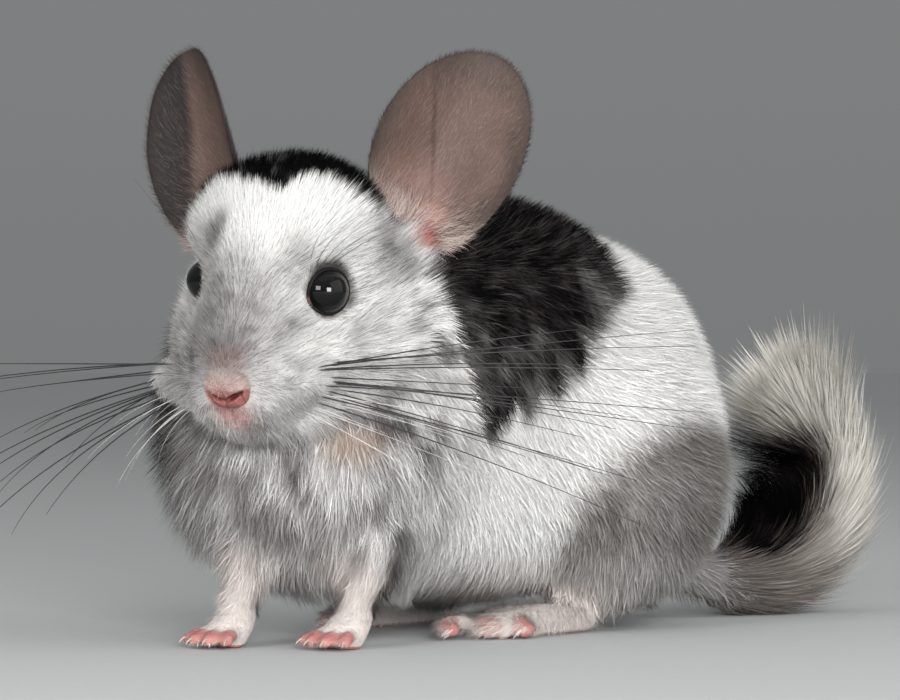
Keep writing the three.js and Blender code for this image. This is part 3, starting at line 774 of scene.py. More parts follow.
def bare_finish(tone, deep):
    made = Finish("bare_skin", 0.5, Specular_IOR_Level=0.45)
    patches = made.noise(0.004, 3.0)
    grain = made.noise(0.0005, 3.0, 0.7)
    skin = made.mix(patches, tone, deep)
    return made.feed(Base_Color=skin, Normal=made.bump(grain, 0.00025), Roughness=grain * 0.25 + 0.38)


# Sizes and colours that a user would change


def count_of(name, description, default):
    return IntProperty(name=name, description=description, default=default, min=1)


def breadth_of(name, description, default):
    return FloatProperty(name=name, description=description, default=default, unit="LENGTH")


def tone_of(name, description, default):
    return FloatVectorProperty(
        name=name, description=description, default=tuple(default), size=3, subtype="COLOR"
    )


def power_of(name, description, default):
    return FloatProperty(name=name, description=description, default=default, unit="POWER")


class CoatSettings(bpy.types.PropertyGroup):
    body_tufts: count_of("Body tufts", "Curved tufts over the trunk and legs", 22000)
    body_hairs: count_of("Body hairs", "Fine straight hairs between the tufts", 156500)
    head_hairs: count_of("Head hairs", "Short hairs over the head", 84000)
    tuft_width: breadth_of("Tuft width", "Widest breadth of a body tuft", 0.0003)
    hair_width: breadth_of("Hair width", "Widest breadth of a short hair", 0.00026)


class HeadSettings(bpy.types.PropertyGroup):
    eye_colour: tone_of("Eyes", "Colour of the eyes", (0.002, 0.002, 0.002))
    nose_colour: tone_of("Nose", "Colour of the nose", colour(142, 88, 82))
    ear_colour: tone_of("Ears", "Colour of the bare inside of the ears", colour(96, 76, 69))
    whiskers: count_of("Whiskers a side", "Number of whiskers on each side", 16)


class StageSettings(bpy.types.PropertyGroup):
    floor_colour: tone_of("Floor", "Colour of the floor", (0.56, 0.57, 0.57))
    key_power: power_of("Key light", "Power of the main soft light", 6.3)
    fill_power: power_of("Fill light", "Power of the second soft light", 19.0)


# Shapes shared by several pieces


def tube(spine, radii, sides=8):
    """Points and triangles of a closed tube along a spine, ending in a point at each end."""
    spine = np.asarray(spine, float)
    along = unit(np.gradient(spine, axis=0))
    first = unit(np.cross(along[0], [0.3, 0.1, 1.0]))
    around = []
    for way in along:
        first = unit(first - way * dot(first, way))
        around.append((first, np.cross(way, first)))
    angles = np.arange(sides) * math.tau / sides
    rings = [
        at + radius * (np.cos(angles)[:, None] * u + np.sin(angles)[:, None] * v)
        for at, radius, (u, v) in zip(spine, radii, around)
    ]
    root_end = spine[:1] - along[:1] * radii[0] * 0.4
    far_end = spine[-1:] + along[-1:] * radii[-1] * 0.4
    points = np.concatenate([*rings, root_end, far_end])
    faces = []
    for k in range(len(spine) - 1):
        for i in range(sides):
            a, b = k * sides + i, k * sides + (i + 1) % sides
            faces += [(a, b, b + sides), (a, b + sides, a + sides)]
    low, high = len(points) - 2, len(points) - 1
    last = (len(spine) - 1) * sides
    for i in range(sides):
        j = (i + 1) % sides
        faces += [(low, j, i), (high, last + i, last + j)]
    return points, np.array(faces)


def joined_arrays(parts):
    points, faces, start = [], [], 0
    for part_points, part_faces in parts:
        points.append(part_points)
        faces.append(np.asarray(part_faces) + start)
        start += len(part_points)
    return np.concatenate(points), np.concatenate(faces)


def smooth_line(places, count):
    """Points evenly spaced along a smooth line through the places."""
    p = np.array(places, float)
    p = np.concatenate([[2 * p[0] - p[1]], p, [2 * p[-1] - p[-2]]])
    t = np.linspace(0, 1, 40, endpoint=False)[:, None]
    line = []
    for a, b, c, d in zip(p, p[1:], p[2:], p[3:]):
        bend = (2 * a - 5 * b + 4 * c - d) * t**2
        line.append(0.5 * (2 * b + (c - a) * t + bend + (3 * b - a - 3 * c + d) * t**3))
    line = np.concatenate([*line, p[-2:-1]])
    reach = np.concatenate([[0], np.cumsum(np.linalg.norm(np.diff(line, axis=0), axis=1))])
    at = np.linspace(0, reach[-1], count)
    return np.stack([np.interp(at, reach, line[:, k]) for k in range(3)], axis=1), reach[-1]


TAIL_LINE, TAIL_LENGTH = smooth_line(TAIL_PLACES, 201)
TAIL_ALONG = unit(np.gradient(TAIL_LINE, axis=0))
TAIL_CURL = np.array([14.0, 112.0, 46.0])
TAIL_OUT = TAIL_LINE - TAIL_CURL
TAIL_OUT = unit(TAIL_OUT - TAIL_ALONG * dot(TAIL_OUT, TAIL_ALONG)[:, None])
TAIL_ACROSS = np.cross(TAIL_ALONG, TAIL_OUT)


def along_tail(share):
    """The tail's middle, its direction, the outside of its curl and the way across, past its end too."""
    at = np.clip(share, 0, 1) * 200
    i = np.minimum(at.astype(int), 199)
    f = (at - i)[..., None]
    frames = [a[i] * (1 - f) + a[i + 1] * f for a in (TAIL_LINE, TAIL_ALONG, TAIL_OUT, TAIL_ACROSS)]
    frames[0] = frames[0] + frames[1] * (np.maximum(share - 1, 0) * TAIL_LENGTH)[..., None]
    return frames


def tail_radius(share):
    along = np.maximum(0, share - 0.42) / 0.58
    return 11 - 6 * along**2


def tail_place(points):
    """How far along the tail each point is, as a share, and its distance from the tail's middle."""
    nearest = np.zeros(len(points), int)
    best = np.full(len(points), 1e9)
    for i in range(0, 201, 4):
        away = np.linalg.norm(points - TAIL_LINE[i], axis=1)
        nearer = away < best
        best = np.where(nearer, away, best)
        nearest[nearer] = i
    return nearest / 200, best


def edges_of(mesh):
    ends = np.zeros(len(mesh.edges) * 2, np.int32)
    mesh.edges.foreach_get("vertices", ends)
    return ends.reshape(-1, 2)


def relaxed(values, ends, times, factor=0.5):
    """values pulled towards the mean of their neighbours, a few times over."""
    values = np.asarray(values, float)
    flat = values.reshape(len(values), -1).copy()
    count = np.bincount(ends.ravel(), minlength=len(flat)).clip(1)[:, None]
    factor = np.asarray(factor, float)
    factor = factor[:, None] if factor.ndim else factor
    for _ in range(times):
        sums = []
        for column in flat.T:
            ahead = np.bincount(ends[:, 0], column[ends[:, 1]], len(flat))
            sums.append(ahead + np.bincount(ends[:, 1], column[ends[:, 0]], len(flat)))
        total = np.stack(sums, axis=1)
        flat += (total / count - flat) * factor
    return flat.reshape(values.shape)


def on_plume(points):
    """True where the tail's long hair takes over from the body's coat."""
    return (tail_place(points)[0] > PLUME_BARE_OF_BODY_COAT) & (points[:, 1] > 100)


# How deep the coat is over each part of the flesh

FLESH_DEPTHS = {
    "head": 1.9, "lower_jaw": 1.5, "neck": 4.6, "torso": 5.0, "haunch_left": 5.0, "haunch_right": 5.0,
    "foreleg_left": 1.7, "foreleg_right": 1.7, "forepaw_left": 0.2, "forepaw_right": 0.2,
    "hind_foot_left": 0.5, "hind_foot_right": 0.5, "tail_root": 4.2, "tail_base": 4.2,
    "whisker_pad_left": 1.3, "whisker_pad_right": 1.3,
}


def body_points_of(node):
    return read_points(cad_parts[node].data)


def pad_copy(side):
    """The pad of the muzzle without its whiskers."""
    points = body_points_of(f"whisker_pad_{SIDE_NAMES[side]}")
    reach = (to_head(points) - np.array([17 * side, -24, -13.5])) / np.array([10.5, 9.5, 9])
    shell = bmesh.new()
    for p in to_frame(points[np.linalg.norm(reach, axis=1) < 1.08]):
        shell.verts.new(p)
    bmesh.ops.remove_doubles(shell, verts=shell.verts, dist=1e-5)
    made = bmesh.ops.convex_hull(shell, input=shell.verts)
    bmesh.ops.delete(shell, geom=list(set(made["geom_interior"])), context="VERTS")
    mesh = bpy.data.meshes.new("pad")
    shell.to_mesh(mesh)
    shell.free()
    return bpy.data.objects.new("pad", mesh)


def near_feet(points):
    """True within the outline, seen from above, of the four feet."""
    x, y = points[:, 0], points[:, 1]
    near = np.zeros(len(points), bool)
    for side in (LEFT, RIGHT):
        fx, fy = FOREPAWS[side]
        near |= (np.abs(x - fx) < 16) & (y > fy - 24) & (y < fy + 14)
        near |= (np.abs(x - HIND_FOOT_APART * side) < 16) & (y < 36) & (y > -30)
    return near


class ChinchillaOperator(bpy.types.Operator):
    bl_options = {"REGISTER", "UNDO"}


class CHINCHILLA_OT_skin(ChinchillaOperator):
    """Make one closed skin for the head, trunk, legs, feet and tail, inside the outline of the coat"""

    bl_idname = "chinchilla.skin"
    bl_label = "Skin"

    def execute(self, context):
        copies = []
        for name in FLESH_DEPTHS:
            if name.startswith("whisker_pad"):
                copy = pad_copy(LEFT if name.endswith("left") else RIGHT)
            else:
                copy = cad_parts[name].copy()
                copy.data = copy.data.copy()
                copy.parent = None
            bpy.context.scene.collection.objects.link(copy)
            copies.append(copy)
        shares = np.linspace(PLUME_FROM, 1, 24)
        core = mesh_piece("core", *tube(along_tail(shares)[0], tail_radius(shares) * 0.8, 16), None)
        cores = [core, self.ball(from_head(NOSE_AT + np.array([0, 0.5, 0])), NOSE_HALF)]
        for side in (LEFT, RIGHT):
            cores.append(self.ball(from_head(eye_middle(side)), [EYE_RADIUS] * 3))
            cores += [self.ball(at, FORE_TOE_HALF) for at, _ in fore_toes(side)]
            cores += [self.ball(at, HIND_TOE_HALF) for at in hind_toes(side)]
        drop_selection()
        for copy in [*copies, *cores]:
            copy.select_set(True)
        context.view_layer.objects.active = copies[0]
        bpy.ops.object.join()
        skin = context.view_layer.objects.active
        skin.name = skin.data.name = "skin"
        for key in list(skin.keys()):
            del skin[key]
        skin.data.materials.clear()
        bpy.ops.object.mode_set(mode="EDIT")
        bpy.ops.mesh.select_all(action="SELECT")
        bpy.ops.mesh.remove_doubles(threshold=1e-6)
        bpy.ops.object.mode_set(mode="OBJECT")
        voxels = skin.modifiers.new("closed", "REMESH")
        voxels.mode, voxels.voxel_size = "VOXEL", SKIN_VOXEL
        bpy.ops.object.modifier_apply(modifier=voxels.name)
        self.refine(skin)
        self.shape(skin)
        skin.data.materials.append(underfur_finish())
        skin.data.materials.append(bare_finish(colour(182, 126, 120), colour(168, 104, 100)))
        self.part_finishes(skin)
        skin.data.shade_smooth()
        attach(skin, "root")
        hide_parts(*FLESH_DEPTHS, "tail_plume")
        return {"FINISHED"}

    def ball(self, at, half):
        """An oval, turned with the head, at a body place."""
        bpy.ops.mesh.primitive_ico_sphere_add(subdivisions=4, radius=0.001)
        made = bpy.context.object
        made.matrix_world = Matrix.LocRotScale(
            Vector(to_frame(at)), Matrix(HEAD_TURN.tolist()).to_quaternion(), Vector([float(v) for v in half])
        )
        return made

    def refine(self, skin):
        """Smaller faces where the skin shows: the front of the muzzle and the feet."""
        mesh = bmesh.new()
        mesh.from_mesh(skin.data)
        mesh.edges.ensure_lookup_table()
        ends = edges_of(skin.data)
        middles = read_points(skin.data)[ends].mean(axis=1)
        h = to_head(middles)
        muzzle = (h[:, 1] < -17) & (h[:, 2] < -2) & (h[:, 2] > -34)
        small = muzzle | (middles[:, 2] < 10.5) & near_feet(middles)
        picked = [mesh.edges[i] for i in np.nonzero(small)[0]]
        bmesh.ops.subdivide_edges(mesh, edges=picked, cuts=1, use_grid_fill=True)
        mesh.to_mesh(skin.data)
        mesh.free()

    def depth_of_coat(self, points):
        """How deep the coat is at each point of the joined solids' surface, from the nearest solid."""
        depth = np.zeros(len(points))
        places = to_frame(points)
        best = np.full(len(points), 0.004)
        for name, node_depth in FLESH_DEPTHS.items():
            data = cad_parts[name].data
            data.calc_loop_triangles()
            corners = [t.vertices[:] for t in data.loop_triangles]
            tree = BVHTree.FromPolygons([v.co[:] for v in data.vertices], corners)
            low, high = (np.array(v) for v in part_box(name))
            inside = np.nonzero(((places > low - 0.003) & (places < high + 0.003)).all(axis=1))[0]
            for i in inside:
                away = tree.find_nearest(places[i], best[i])[3]
                if away is not None and away < best[i]:
                    best[i] = away
                    depth[i] = node_depth
        depth[on_plume(points)] = 0.3
        h = to_head(points)
        face = np.clip(0.8 + 0.05 * (h[:, 1] + 38), 0.8, 4.0)
        face = face + 0.9 * step(8, 24, np.abs(h[:, 0])) * step(-24, 0, h[:, 1])
        return np.where(head_share(points) > 0.5, np.minimum(face, depth + 2.2), depth)

    def shape(self, skin):
        """Smooth the skin, sink it by the coat's depth, shape the head and store what the coat reads."""
        mesh = skin.data
        ends = edges_of(mesh)
        points = read_points(mesh)
        depth = relaxed(self.depth_of_coat(points), ends, 14)
        head = head_share(points)
        h = to_head(points)
        feet = near_feet(points) & (points[:, 2] < 12)
        calm = np.where(feet, 0.25, 0.5) * np.where((h[:, 1] < -20) & (head > 0.5), 0.7, 1)
        points = relaxed(points, ends, 10, calm)
        soft = relaxed(points, ends, 12, calm)
        mesh.vertices.foreach_set("co", to_frame(soft).astype(np.float32).ravel())
        mesh.update()
        normals = read_normals(mesh)
        points = points - normals * depth[:, None]
        points[:, 2] = np.maximum(points[:, 2], np.where(feet, 0.0, 2.0))
        points = self.sculpt_head(points, normals)
        mesh.vertices.foreach_set("co", to_frame(points).astype(np.float32).ravel())
        mesh.update()
        store_number(mesh, "coat_depth", depth)
        store_number(mesh, "hair", self.hair(points, normals))
        shade = 0.82 + 0.18 * np.clip(1 - (depth - 1) / 4, 0, 1)
        tones = coat_colours(points + normals * 2) * shade[:, None]
        tones = tint(tones, NOSE_PINK, lip_share(to_head(points)))
        tones = tint(tones, TOE_PINK, 1 - step(3.6, 5.4, toe_distance(points)))
        store_colours(mesh, tones)

    def sculpt_head(self, points, normals):
        """Press in the eye sockets, the mouth and the groove under the nose."""
        h = to_head(points)
        front = head_share(points) > 0.5
        groove = mouth_share(h)
        hollow = 0
        for side in (LEFT, RIGHT):
            off = h - np.array([11.0 * side, -19.5, 13.5])
            hollow = hollow + np.exp(-(off**2).sum(axis=1) / (2 * 5.0**2))
        cleft = np.exp(-((h[:, 0] / 0.6) ** 2)) * step(-13, -14.5, h[:, 2])
        cleft = cleft * step(-22.5, -21, h[:, 2]) * step(-28, -31, h[:, 1])
        points = points - normals * (front * (1.7 * groove + 0.8 * cleft + 2.6 * hollow))[:, None]
        h = to_head(points)
        for side in (LEFT, RIGHT):
            reach, rise, ring = round_eye(h, side)
            inside = front & (reach < EYE_RADIUS * 1.6) & (rise > 0)
            most = EYE_RADIUS * np.interp(
                ring / EYE_RADIUS, [0, 0.84, 0.97, 1.1, 1.6], [0.05, 0.1, 0.3, 0.46, 1.0]
            )
            deep = np.minimum(rise, most)
            h[inside] += eye_look(side) * (deep - rise)[inside, None]
        return np.where(front[:, None], from_head(h), points)

    def hair(self, points, normals):
        """1 where hair grows and 0 on bare skin."""
        h = to_head(points)
        hair = np.ones(len(points))
        for side in (LEFT, RIGHT):
            _, rise, ring = round_eye(h, side)
            hair[(ring < EYE_RADIUS * 0.98) & (rise > 0)] = 0
        nose = np.linalg.norm((h - NOSE_AT)[:, [0, 2]] / (NOSE_HALF[[0, 2]] * 0.9), axis=1)
        hair[(nose < 1) & (h[:, 1] < -30)] = 0
        hair *= 1 - 0.5 * lip_share(h)
        hair *= 1 - 0.6 * mouth_share(h)
        feet = near_feet(points) & (points[:, 2] < 10)
        hair[feet] = (step(-0.5, -0.1, normals[:, 2]) * step(0.5, 1.6, points[:, 2]))[feet]
        off_toes = 0.06 + 0.94 * step(2.4, 4.2, toe_distance(points))
        hair *= np.maximum(off_toes, 0.8 * step(0.0, 0.5, normals[:, 2]))
        hair[points[:, 2] < 0.8] = 0
        return hair

    def part_finishes(self, skin):
        """Bare skin on the soles and toes, underfur on the rest."""
        mesh = skin.data
        middles = np.zeros(len(mesh.polygons) * 3, np.float32)
        mesh.polygons.foreach_get("center", middles)
        middles = to_body(middles.reshape(-1, 3))
        bare = near_feet(middles) & ((middles[:, 2] < 1.0) | (toe_distance(middles) < 3.0))
        mesh.polygons.foreach_set("material_index", bare.astype(np.int32))
        mesh.update()


def finish_coat(pieces):
    for piece in pieces:
        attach(piece, "root")


def split_coat(name, slot, parts, order, **shared):
    """Blades shared out, in the given order, among pieces that each stay under the limit of triangles."""
    stations = parts["spines"].shape[1] - 1
    limit = PIECE_TRIANGLES // (6 * (stations - 1) + 4)
    rank = np.argsort(order, kind="stable")
    pieces = []
    for k, picks in enumerate(np.array_split(rank, math.ceil(len(rank) / limit))):
        picked = {key: value[picks] for key, value in parts.items()}
        pieces.append(blades(f"{name}_{k + 1}", **picked, thickness=0.35, **shared))
    finish_coat(pieces)


def coat_parts(roots, normals, ways, spines, widths, tips, unwrap):
    """What blades needs for tufts: darker at the root, and of their own colour from the middle to the tip."""
    stations = spines.shape[1] - 1
    shades = np.interp(np.linspace(0, 1, stations + 1), [0, 0.4, 1], [0.72, 1, 1])
    profile = np.interp(np.linspace(0, 1, stations + 1)[:stations], [0, 0.5, 1], [0.75, 1, 0.5])
    return {
        "spines": spines,
        "sides": unit(np.cross(normals, ways)),
        "surface": normals,
        "widths": widths[:, None] * profile[None] / 2,
        "colours": tips[:, None] * shades[None, :, None],
        "unwrap": unwrap,
    }


def uneven(tones, random):
    """Each hair a little lighter or darker than the next, the more so the darker the coat."""
    amount = np.interp(tones.mean(axis=1), [0.03, 0.3, 0.85], [0.35, 0.12, 0.05])
    change = (1 + amount * random.normal(size=len(tones))).clip(0.4, 1.6)
    return np.clip(tones * change[:, None], 0.003, 0.92)


def seen_colours(spines):
    """The markings under the part of each blade that shows most, nearer its tip than its root."""
    return coat_colours(spines[:, -1] * 0.6 + spines[:, 0] * 0.4)


def varied(count, random, least, spread):
    """A factor for each of count hairs, from least to least plus spread."""
    return least + spread * random.random(count)


class CHINCHILLA_OT_body_coat(ChinchillaOperator):
    """Cover the trunk, legs and root of the tail with overlapping tufts and fine hairs"""

    bl_idname = "chinchilla.body_coat"
    bl_label = "Body coat"

    # Values at a coat depth of DEPTHS millimetres: on the feet, on the legs and on the trunk
    DEPTHS = [0.3, 2, 5]
    DENSITY = [4.5, 2.0, 1.0]
    RISE_PER_LENGTH = [0.32, 0.44, 0.8]
    RELATIVE_WIDTH = [0.42, 0.6, 1]
    ROOT_LIFT, TIP_LIFT = [16, 34, 52], [5, 15, 29]

    def execute(self, context):
        settings = context.scene.chinchilla_coat
        surface = Surface(bpy.data.objects["skin"], ("coat_depth", "hair"))
        head = head_share(surface.middles)
        depth = surface.mean(surface.numbers["coat_depth"])
        hair = surface.mean(surface.numbers["hair"])
        density = (1 - head) * ~on_plume(surface.middles) * hair * self.at_depth(depth, self.DENSITY)
        hidden = (surface.middles[:, 2] < 9) & (surface.normals[surface.triangles[:, 0], 2] < -0.6)
        density = density * np.where(hidden, 0.45, 1)
        finish = coat_finish("body_hair")
        wide = 1000 * settings.tuft_width
        self.cover(surface, density, "body_tufts", settings.body_tufts, 2, wide, 0.34, 3, finish)
        self.cover(surface, density, "body_hairs", settings.body_hairs, 1, wide * 0.62, 0.2, 4, finish)
        return {"FINISHED"}

    def at_depth(self, depth, values):
        return np.interp(depth, self.DEPTHS, values)

    def cover(self, surface, density, name, count, stations, wide, gather, seed, finish):
        """One kind of hair: stations is 2 for a curved tuft and 1 for a straight hair."""
        random = np.random.default_rng(seed)
        roots, normals, numbers = surface.scatter(count, density, random)
        depth = numbers["coat_depth"]
        ways = lie_of_coat(roots, normals, random, 0.42)
        elbows = two_blobs(roots, ((27, -54, 36), (16, 18, 20), 0.5), ((-4, -74, 36), (19, 18, 20), 0.5))
        insteps = on_both_sides(roots, (28, 2, 8), (14, 30, 7), 0.4)
        length = (depth + 0.5) / self.at_depth(depth, self.RISE_PER_LENGTH) * varied(count, random, 0.8, 0.35)
        length *= 1 + 0.1 * noise(roots, 6, 51) + 0.75 * blob(roots, (-34, -72, 54), (20, 24, 34), 0.5)
        length = length * (1 + 0.6 * elbows) + 3.2 * insteps
        low = blob(roots, (0, 0, 12), (60, 62, 15), 0.4) * step(0.2, 2.5, depth)
        length *= 1 + 0.25 * low * (1 - blob(roots, (0, 56, 8), (60, 20, 14), 0.4))
        widths = wide * self.at_depth(depth, self.RELATIVE_WIDTH) * varied(count, random, 0.75, 0.5)
        lift = self.at_depth(depth, self.ROOT_LIFT) + 7 * random.normal(size=count)
        tip = self.at_depth(depth, self.TIP_LIFT) + 8 * random.normal(size=count)
        lift = lift + 28 * insteps + 14 * elbows
        if stations == 1:
            lift, tip = (lift + tip) / 2, (lift + tip) / 2
        spines = tufts(roots, normals, ways, length, lift, tip, stations, gather, 3.4)
        spines[..., 2] = np.maximum(spines[..., 2], 0.15)
        tips = uneven(seen_colours(spines), random)
        parts = coat_parts(roots, normals, ways, spines, widths, tips, trunk_unwrap(roots))
        split_coat(name, "white_coat", parts, roots[:, 1], finish=finish, softness=0.86)


class CHINCHILLA_OT_head_coat(ChinchillaOperator):
    """Cover the head with short hairs that lie back from the nose"""

    bl_idname = "chinchilla.head_coat"
    bl_label = "Head coat"

    def execute(self, context):
        settings = context.scene.chinchilla_coat
        surface = Surface(bpy.data.objects["skin"], ("coat_depth", "hair"))
        depth = surface.mean(surface.numbers["coat_depth"])
        density = head_share(surface.middles) * surface.mean(surface.numbers["hair"])
        density = density * np.interp(depth, [0.8, 1.5, 4], [2.6, 1.8, 0.9])
        random = np.random.default_rng(6)
        count = settings.head_hairs
        roots, normals, numbers = surface.scatter(count, density, random)
        depth = numbers["coat_depth"]
        ways = lie_of_coat(roots, normals, random, 0.2)
        rise_per_length = np.interp(depth, [0.8, 2, 4], [0.42, 0.54, 0.66])
        length = (depth + 0.35) / rise_per_length * varied(count, random, 0.75, 0.45)
        h = to_head(roots)
        near_eye = np.minimum(*(np.linalg.norm(h - eye_middle(side), axis=1) for side in (LEFT, RIGHT)))
        length *= 0.36 + 0.64 * step(6.8, 12, near_eye)
        length *= 1 - 0.55 * two_blobs(h, ((0, -34, -17), (8, 7, 7), 0.4), ((-11, -21, 14), (6, 7, 8), 0.5))
        wide = 1000 * settings.hair_width * np.interp(depth, [0.8, 4], [0.7, 1.15])
        widths = wide * varied(count, random, 0.7, 0.6)
        lift = np.interp(depth, [0.8, 2, 4], [22, 31, 40]) + 7 * random.normal(size=count)
        spines = tufts(roots, normals, ways, length, lift, lift, 1, 0.12, 3.0, 0.3)
        tips = seen_colours(spines)
        ticked = random.random(count) < 0.27 * (1 - blob(h, (2, -6, 30), (15, 13, 14), 0.6))
        tips = uneven(tips * np.where(ticked, 0.45, 1)[:, None], random)
        parts = coat_parts(roots, normals, ways, spines, widths, tips, head_unwrap(roots))
        split_coat("head_hairs", "white_coat", parts, h[:, 1], finish=coat_finish("head_hair"), softness=0.72)
        return {"FINISHED"}


class CHINCHILLA_OT_tail(ChinchillaOperator):
    """Grow the long locks of the tail's plume"""

    bl_idname = "chinchilla.tail"
    bl_label = "Tail plume"

    def execute(self, context):
        finish = coat_finish("tail_hair")
        self.grow("tail_locks", 7500, 3, 1, 0.36, 8, finish)
        self.grow("tail_hairs", 26000, 1, 0.9, 0.25, 9, finish)
        return {"FINISHED"}

    def grow(self, name, count, stations, long, wide, seed, finish):
        """One kind of hair, each rooted at a share of the tail's length and a turn round it."""
        random = np.random.default_rng(seed)
        share = 0.27 + 0.72 * random.random(count) ** 0.9
        turn = random.random(count) * math.tau
        outside = (1 + np.sin(turn)) / 2
        grown = step(0.24, 0.5, share)
        side = 0.2 * np.cos(turn) - np.sin(turn) + 0.12 * random.normal(size=count)
        inner = step(-0.1, 0.85, side) ** 1.5 * step(0.24, 0.34, share) * (1 - step(0.84, 0.93, share))
        far = inner * step(-0.2, 0.4, np.cos(turn))
        tip = step(0.78, 0.9, share)
        length = (8 + grown * (7 + 3 * outside) + 5 * random.random(count)) * long + 5 * far + 4 * tip
        spread = 13 + 10 * share + 38 * far + (8 + 9 * tip) * random.normal(size=count)
        lift = np.radians((spread + 8 * tip * (1 - outside)).clip(4, 72))
        follow = 1 - 0.3 * outside
        reach = np.linspace(0, 1, stations + 1)[None]
        at, _, out, across = along_tail(share[:, None] + reach * (follow * length)[:, None] / TAIL_LENGTH)
        away = across * np.cos(turn)[:, None, None] + out * np.sin(turn)[:, None, None]
        start = along_tail(share)[1]
        core = tail_radius(share) * 0.8 - 1.0
        rise = core[:, None] + reach * (1.2 - 0.2 * reach) * (length * np.sin(lift))[:, None]
        straight = reach * ((1 - follow) * length)[:, None]
        spines = at + away * rise[..., None] + start[:, None] * straight[..., None]
        bend = noise(spines[:, 0], 6, 71)[:, None, None] * across[:, :1]
        bend = bend + noise(spines[:, 0], 6, 72)[:, None, None] * away[:, :1]
        spines = spines + bend * (1.6 * reach**2)[..., None]
        spines[..., 2] = np.maximum(spines[..., 2], 0.2)
        tips = self.colours(spines[:, -1] * 0.5 + spines[:, 0] * 0.5, share, inner, random)
        widths = wide * varied(count, random, 0.7, 0.6)
        unwrap = map_place(share, turn / math.tau)
        parts = coat_parts(spines[:, 0], away[:, 0], start, spines, widths, tips, unwrap)
        split_coat(name, "tail_coat", parts, share, finish=finish, softness=None)

    def colours(self, points, share, inner, random):
        """Cream outside, smoky towards the root and black inside the curl, partly dark hair and partly
        painted shade.
        """
        c = np.tile(CREAM, (len(points), 1))
        c = tint(c, SMOKE, (1 - step(0.4, 0.66, share + 0.08 * noise(points, 8, 61))) * 0.85)
        c = tint(c, DARK, 0.5 * (1 - step(0.3, 0.46, share)))
        # Black inside the curl, partly the dark hair there and partly painted shade between the curl and the
        # body.
        c = tint(c, SMOKE, 1.6 * inner)
        c = tint(c, BLACK, 1.6 * inner - 0.45 + 0.35 * noise(points, 5, 62))
        return uneven(c, random)


class CHINCHILLA_OT_eyes(ChinchillaOperator):
    """Set the glossy eyes and the dark rims of the lids"""

    bl_idname = "chinchilla.eyes"
    bl_label = "Eyes"

    def execute(self, context):
        tone = tuple(context.scene.chinchilla_head.eye_colour)
        glossy = Finish("eye", 0.03, Specular_IOR_Level=0.3)
        depth = glossy.noise(0.003, 2.0)
        glossy.feed(Base_Color=glossy.mix(depth, tone, tuple(2 * t for t in tone)))
        rim = Finish("eyelid", 0.5, Specular_IOR_Level=0.12)
        rim = rim.feed(Base_Color=rim.attribute(), Normal=rim.bump(rim.noise(0.0006), 0.0002))
        for side in (LEFT, RIGHT):
            name = SIDE_NAMES[side]
            drop_selection()
            bpy.ops.mesh.primitive_uv_sphere_add(segments=64, ring_count=40, radius=EYE_RADIUS / 1000)
            eye = bpy.context.object
            eye.name = eye.data.name = f"eyeball_{name}"
            look = HEAD_TURN @ eye_look(side)
            turn = Vector(look).to_track_quat("Z", "Y").to_matrix().to_4x4()
            middle = Vector(to_frame(from_head(eye_middle(side))))
            for v in eye.data.vertices:
                rise = max(0.0, v.co.z * 1000 / EYE_RADIUS - 0.55)
                v.co.z *= 1 + 0.16 * rise
            eye.data.transform(Matrix.Translation(middle) @ turn)
            eye.data.materials.append(glossy.material)
            eye.data.shade_smooth()
            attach(eye, "root")
            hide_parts(f"eye_{name}")
            self.lid(side, turn, middle, rim)
        return {"FINISHED"}

    def lid(self, side, turn, middle, rim):
        """A thin lid round the eye, a little pointed at its front and back corners."""
        count, spokes = 72, 10
        angles = np.linspace(0, math.tau, count, endpoint=False)
        local_back = np.array(turn.to_3x3().inverted()) @ (HEAD_TURN @ np.array([0.0, 1.0, 0.0]))
        tilt = math.atan2(local_back[1], local_back[0])
        ring = EYE_RADIUS * math.sqrt(1 - LID_RISE**2)
        corner = np.abs(np.cos(angles - tilt)) ** 8
        radius = ring * (0.99 + 0.06 * corner)
        rise = EYE_RADIUS * LID_RISE - 0.7 * corner
        centre = np.stack([radius * np.cos(angles), radius * np.sin(angles), rise], axis=1)
        out = unit(np.stack([np.cos(angles), np.sin(angles), np.zeros(count)], axis=1))
        rows = []
        for turn_at in np.linspace(0, math.tau, spokes, endpoint=False):
            offset = out * (0.55 * math.cos(turn_at)) + np.array([0, 0, 0.5 * math.sin(turn_at)])
            rows.append(centre + offset)
        points = np.stack(rows, axis=1).reshape(-1, 3)
        faces = []
        for i in range(count):
            here, beyond = i * spokes, (i + 1) % count * spokes
            for j in range(spokes):
                k = (j + 1) % spokes
                faces.append((here + j, beyond + j, beyond + k, here + k))
        world = points / 1000 @ np.array(turn.to_3x3()).T + np.array(middle)
        pink_corner = step(0.975, 0.998, -np.cos(angles - tilt))
        tones = tint(np.tile(colour(24, 20, 21), (count, 1)), colour(84, 62, 61), pink_corner)
        tones = np.repeat(tones, spokes, axis=0)
        lid = mesh_piece(f"eyelid_{SIDE_NAMES[side]}", to_body(world), faces, rim, tones)
        lid.data.shade_smooth()
        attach(lid, "root")


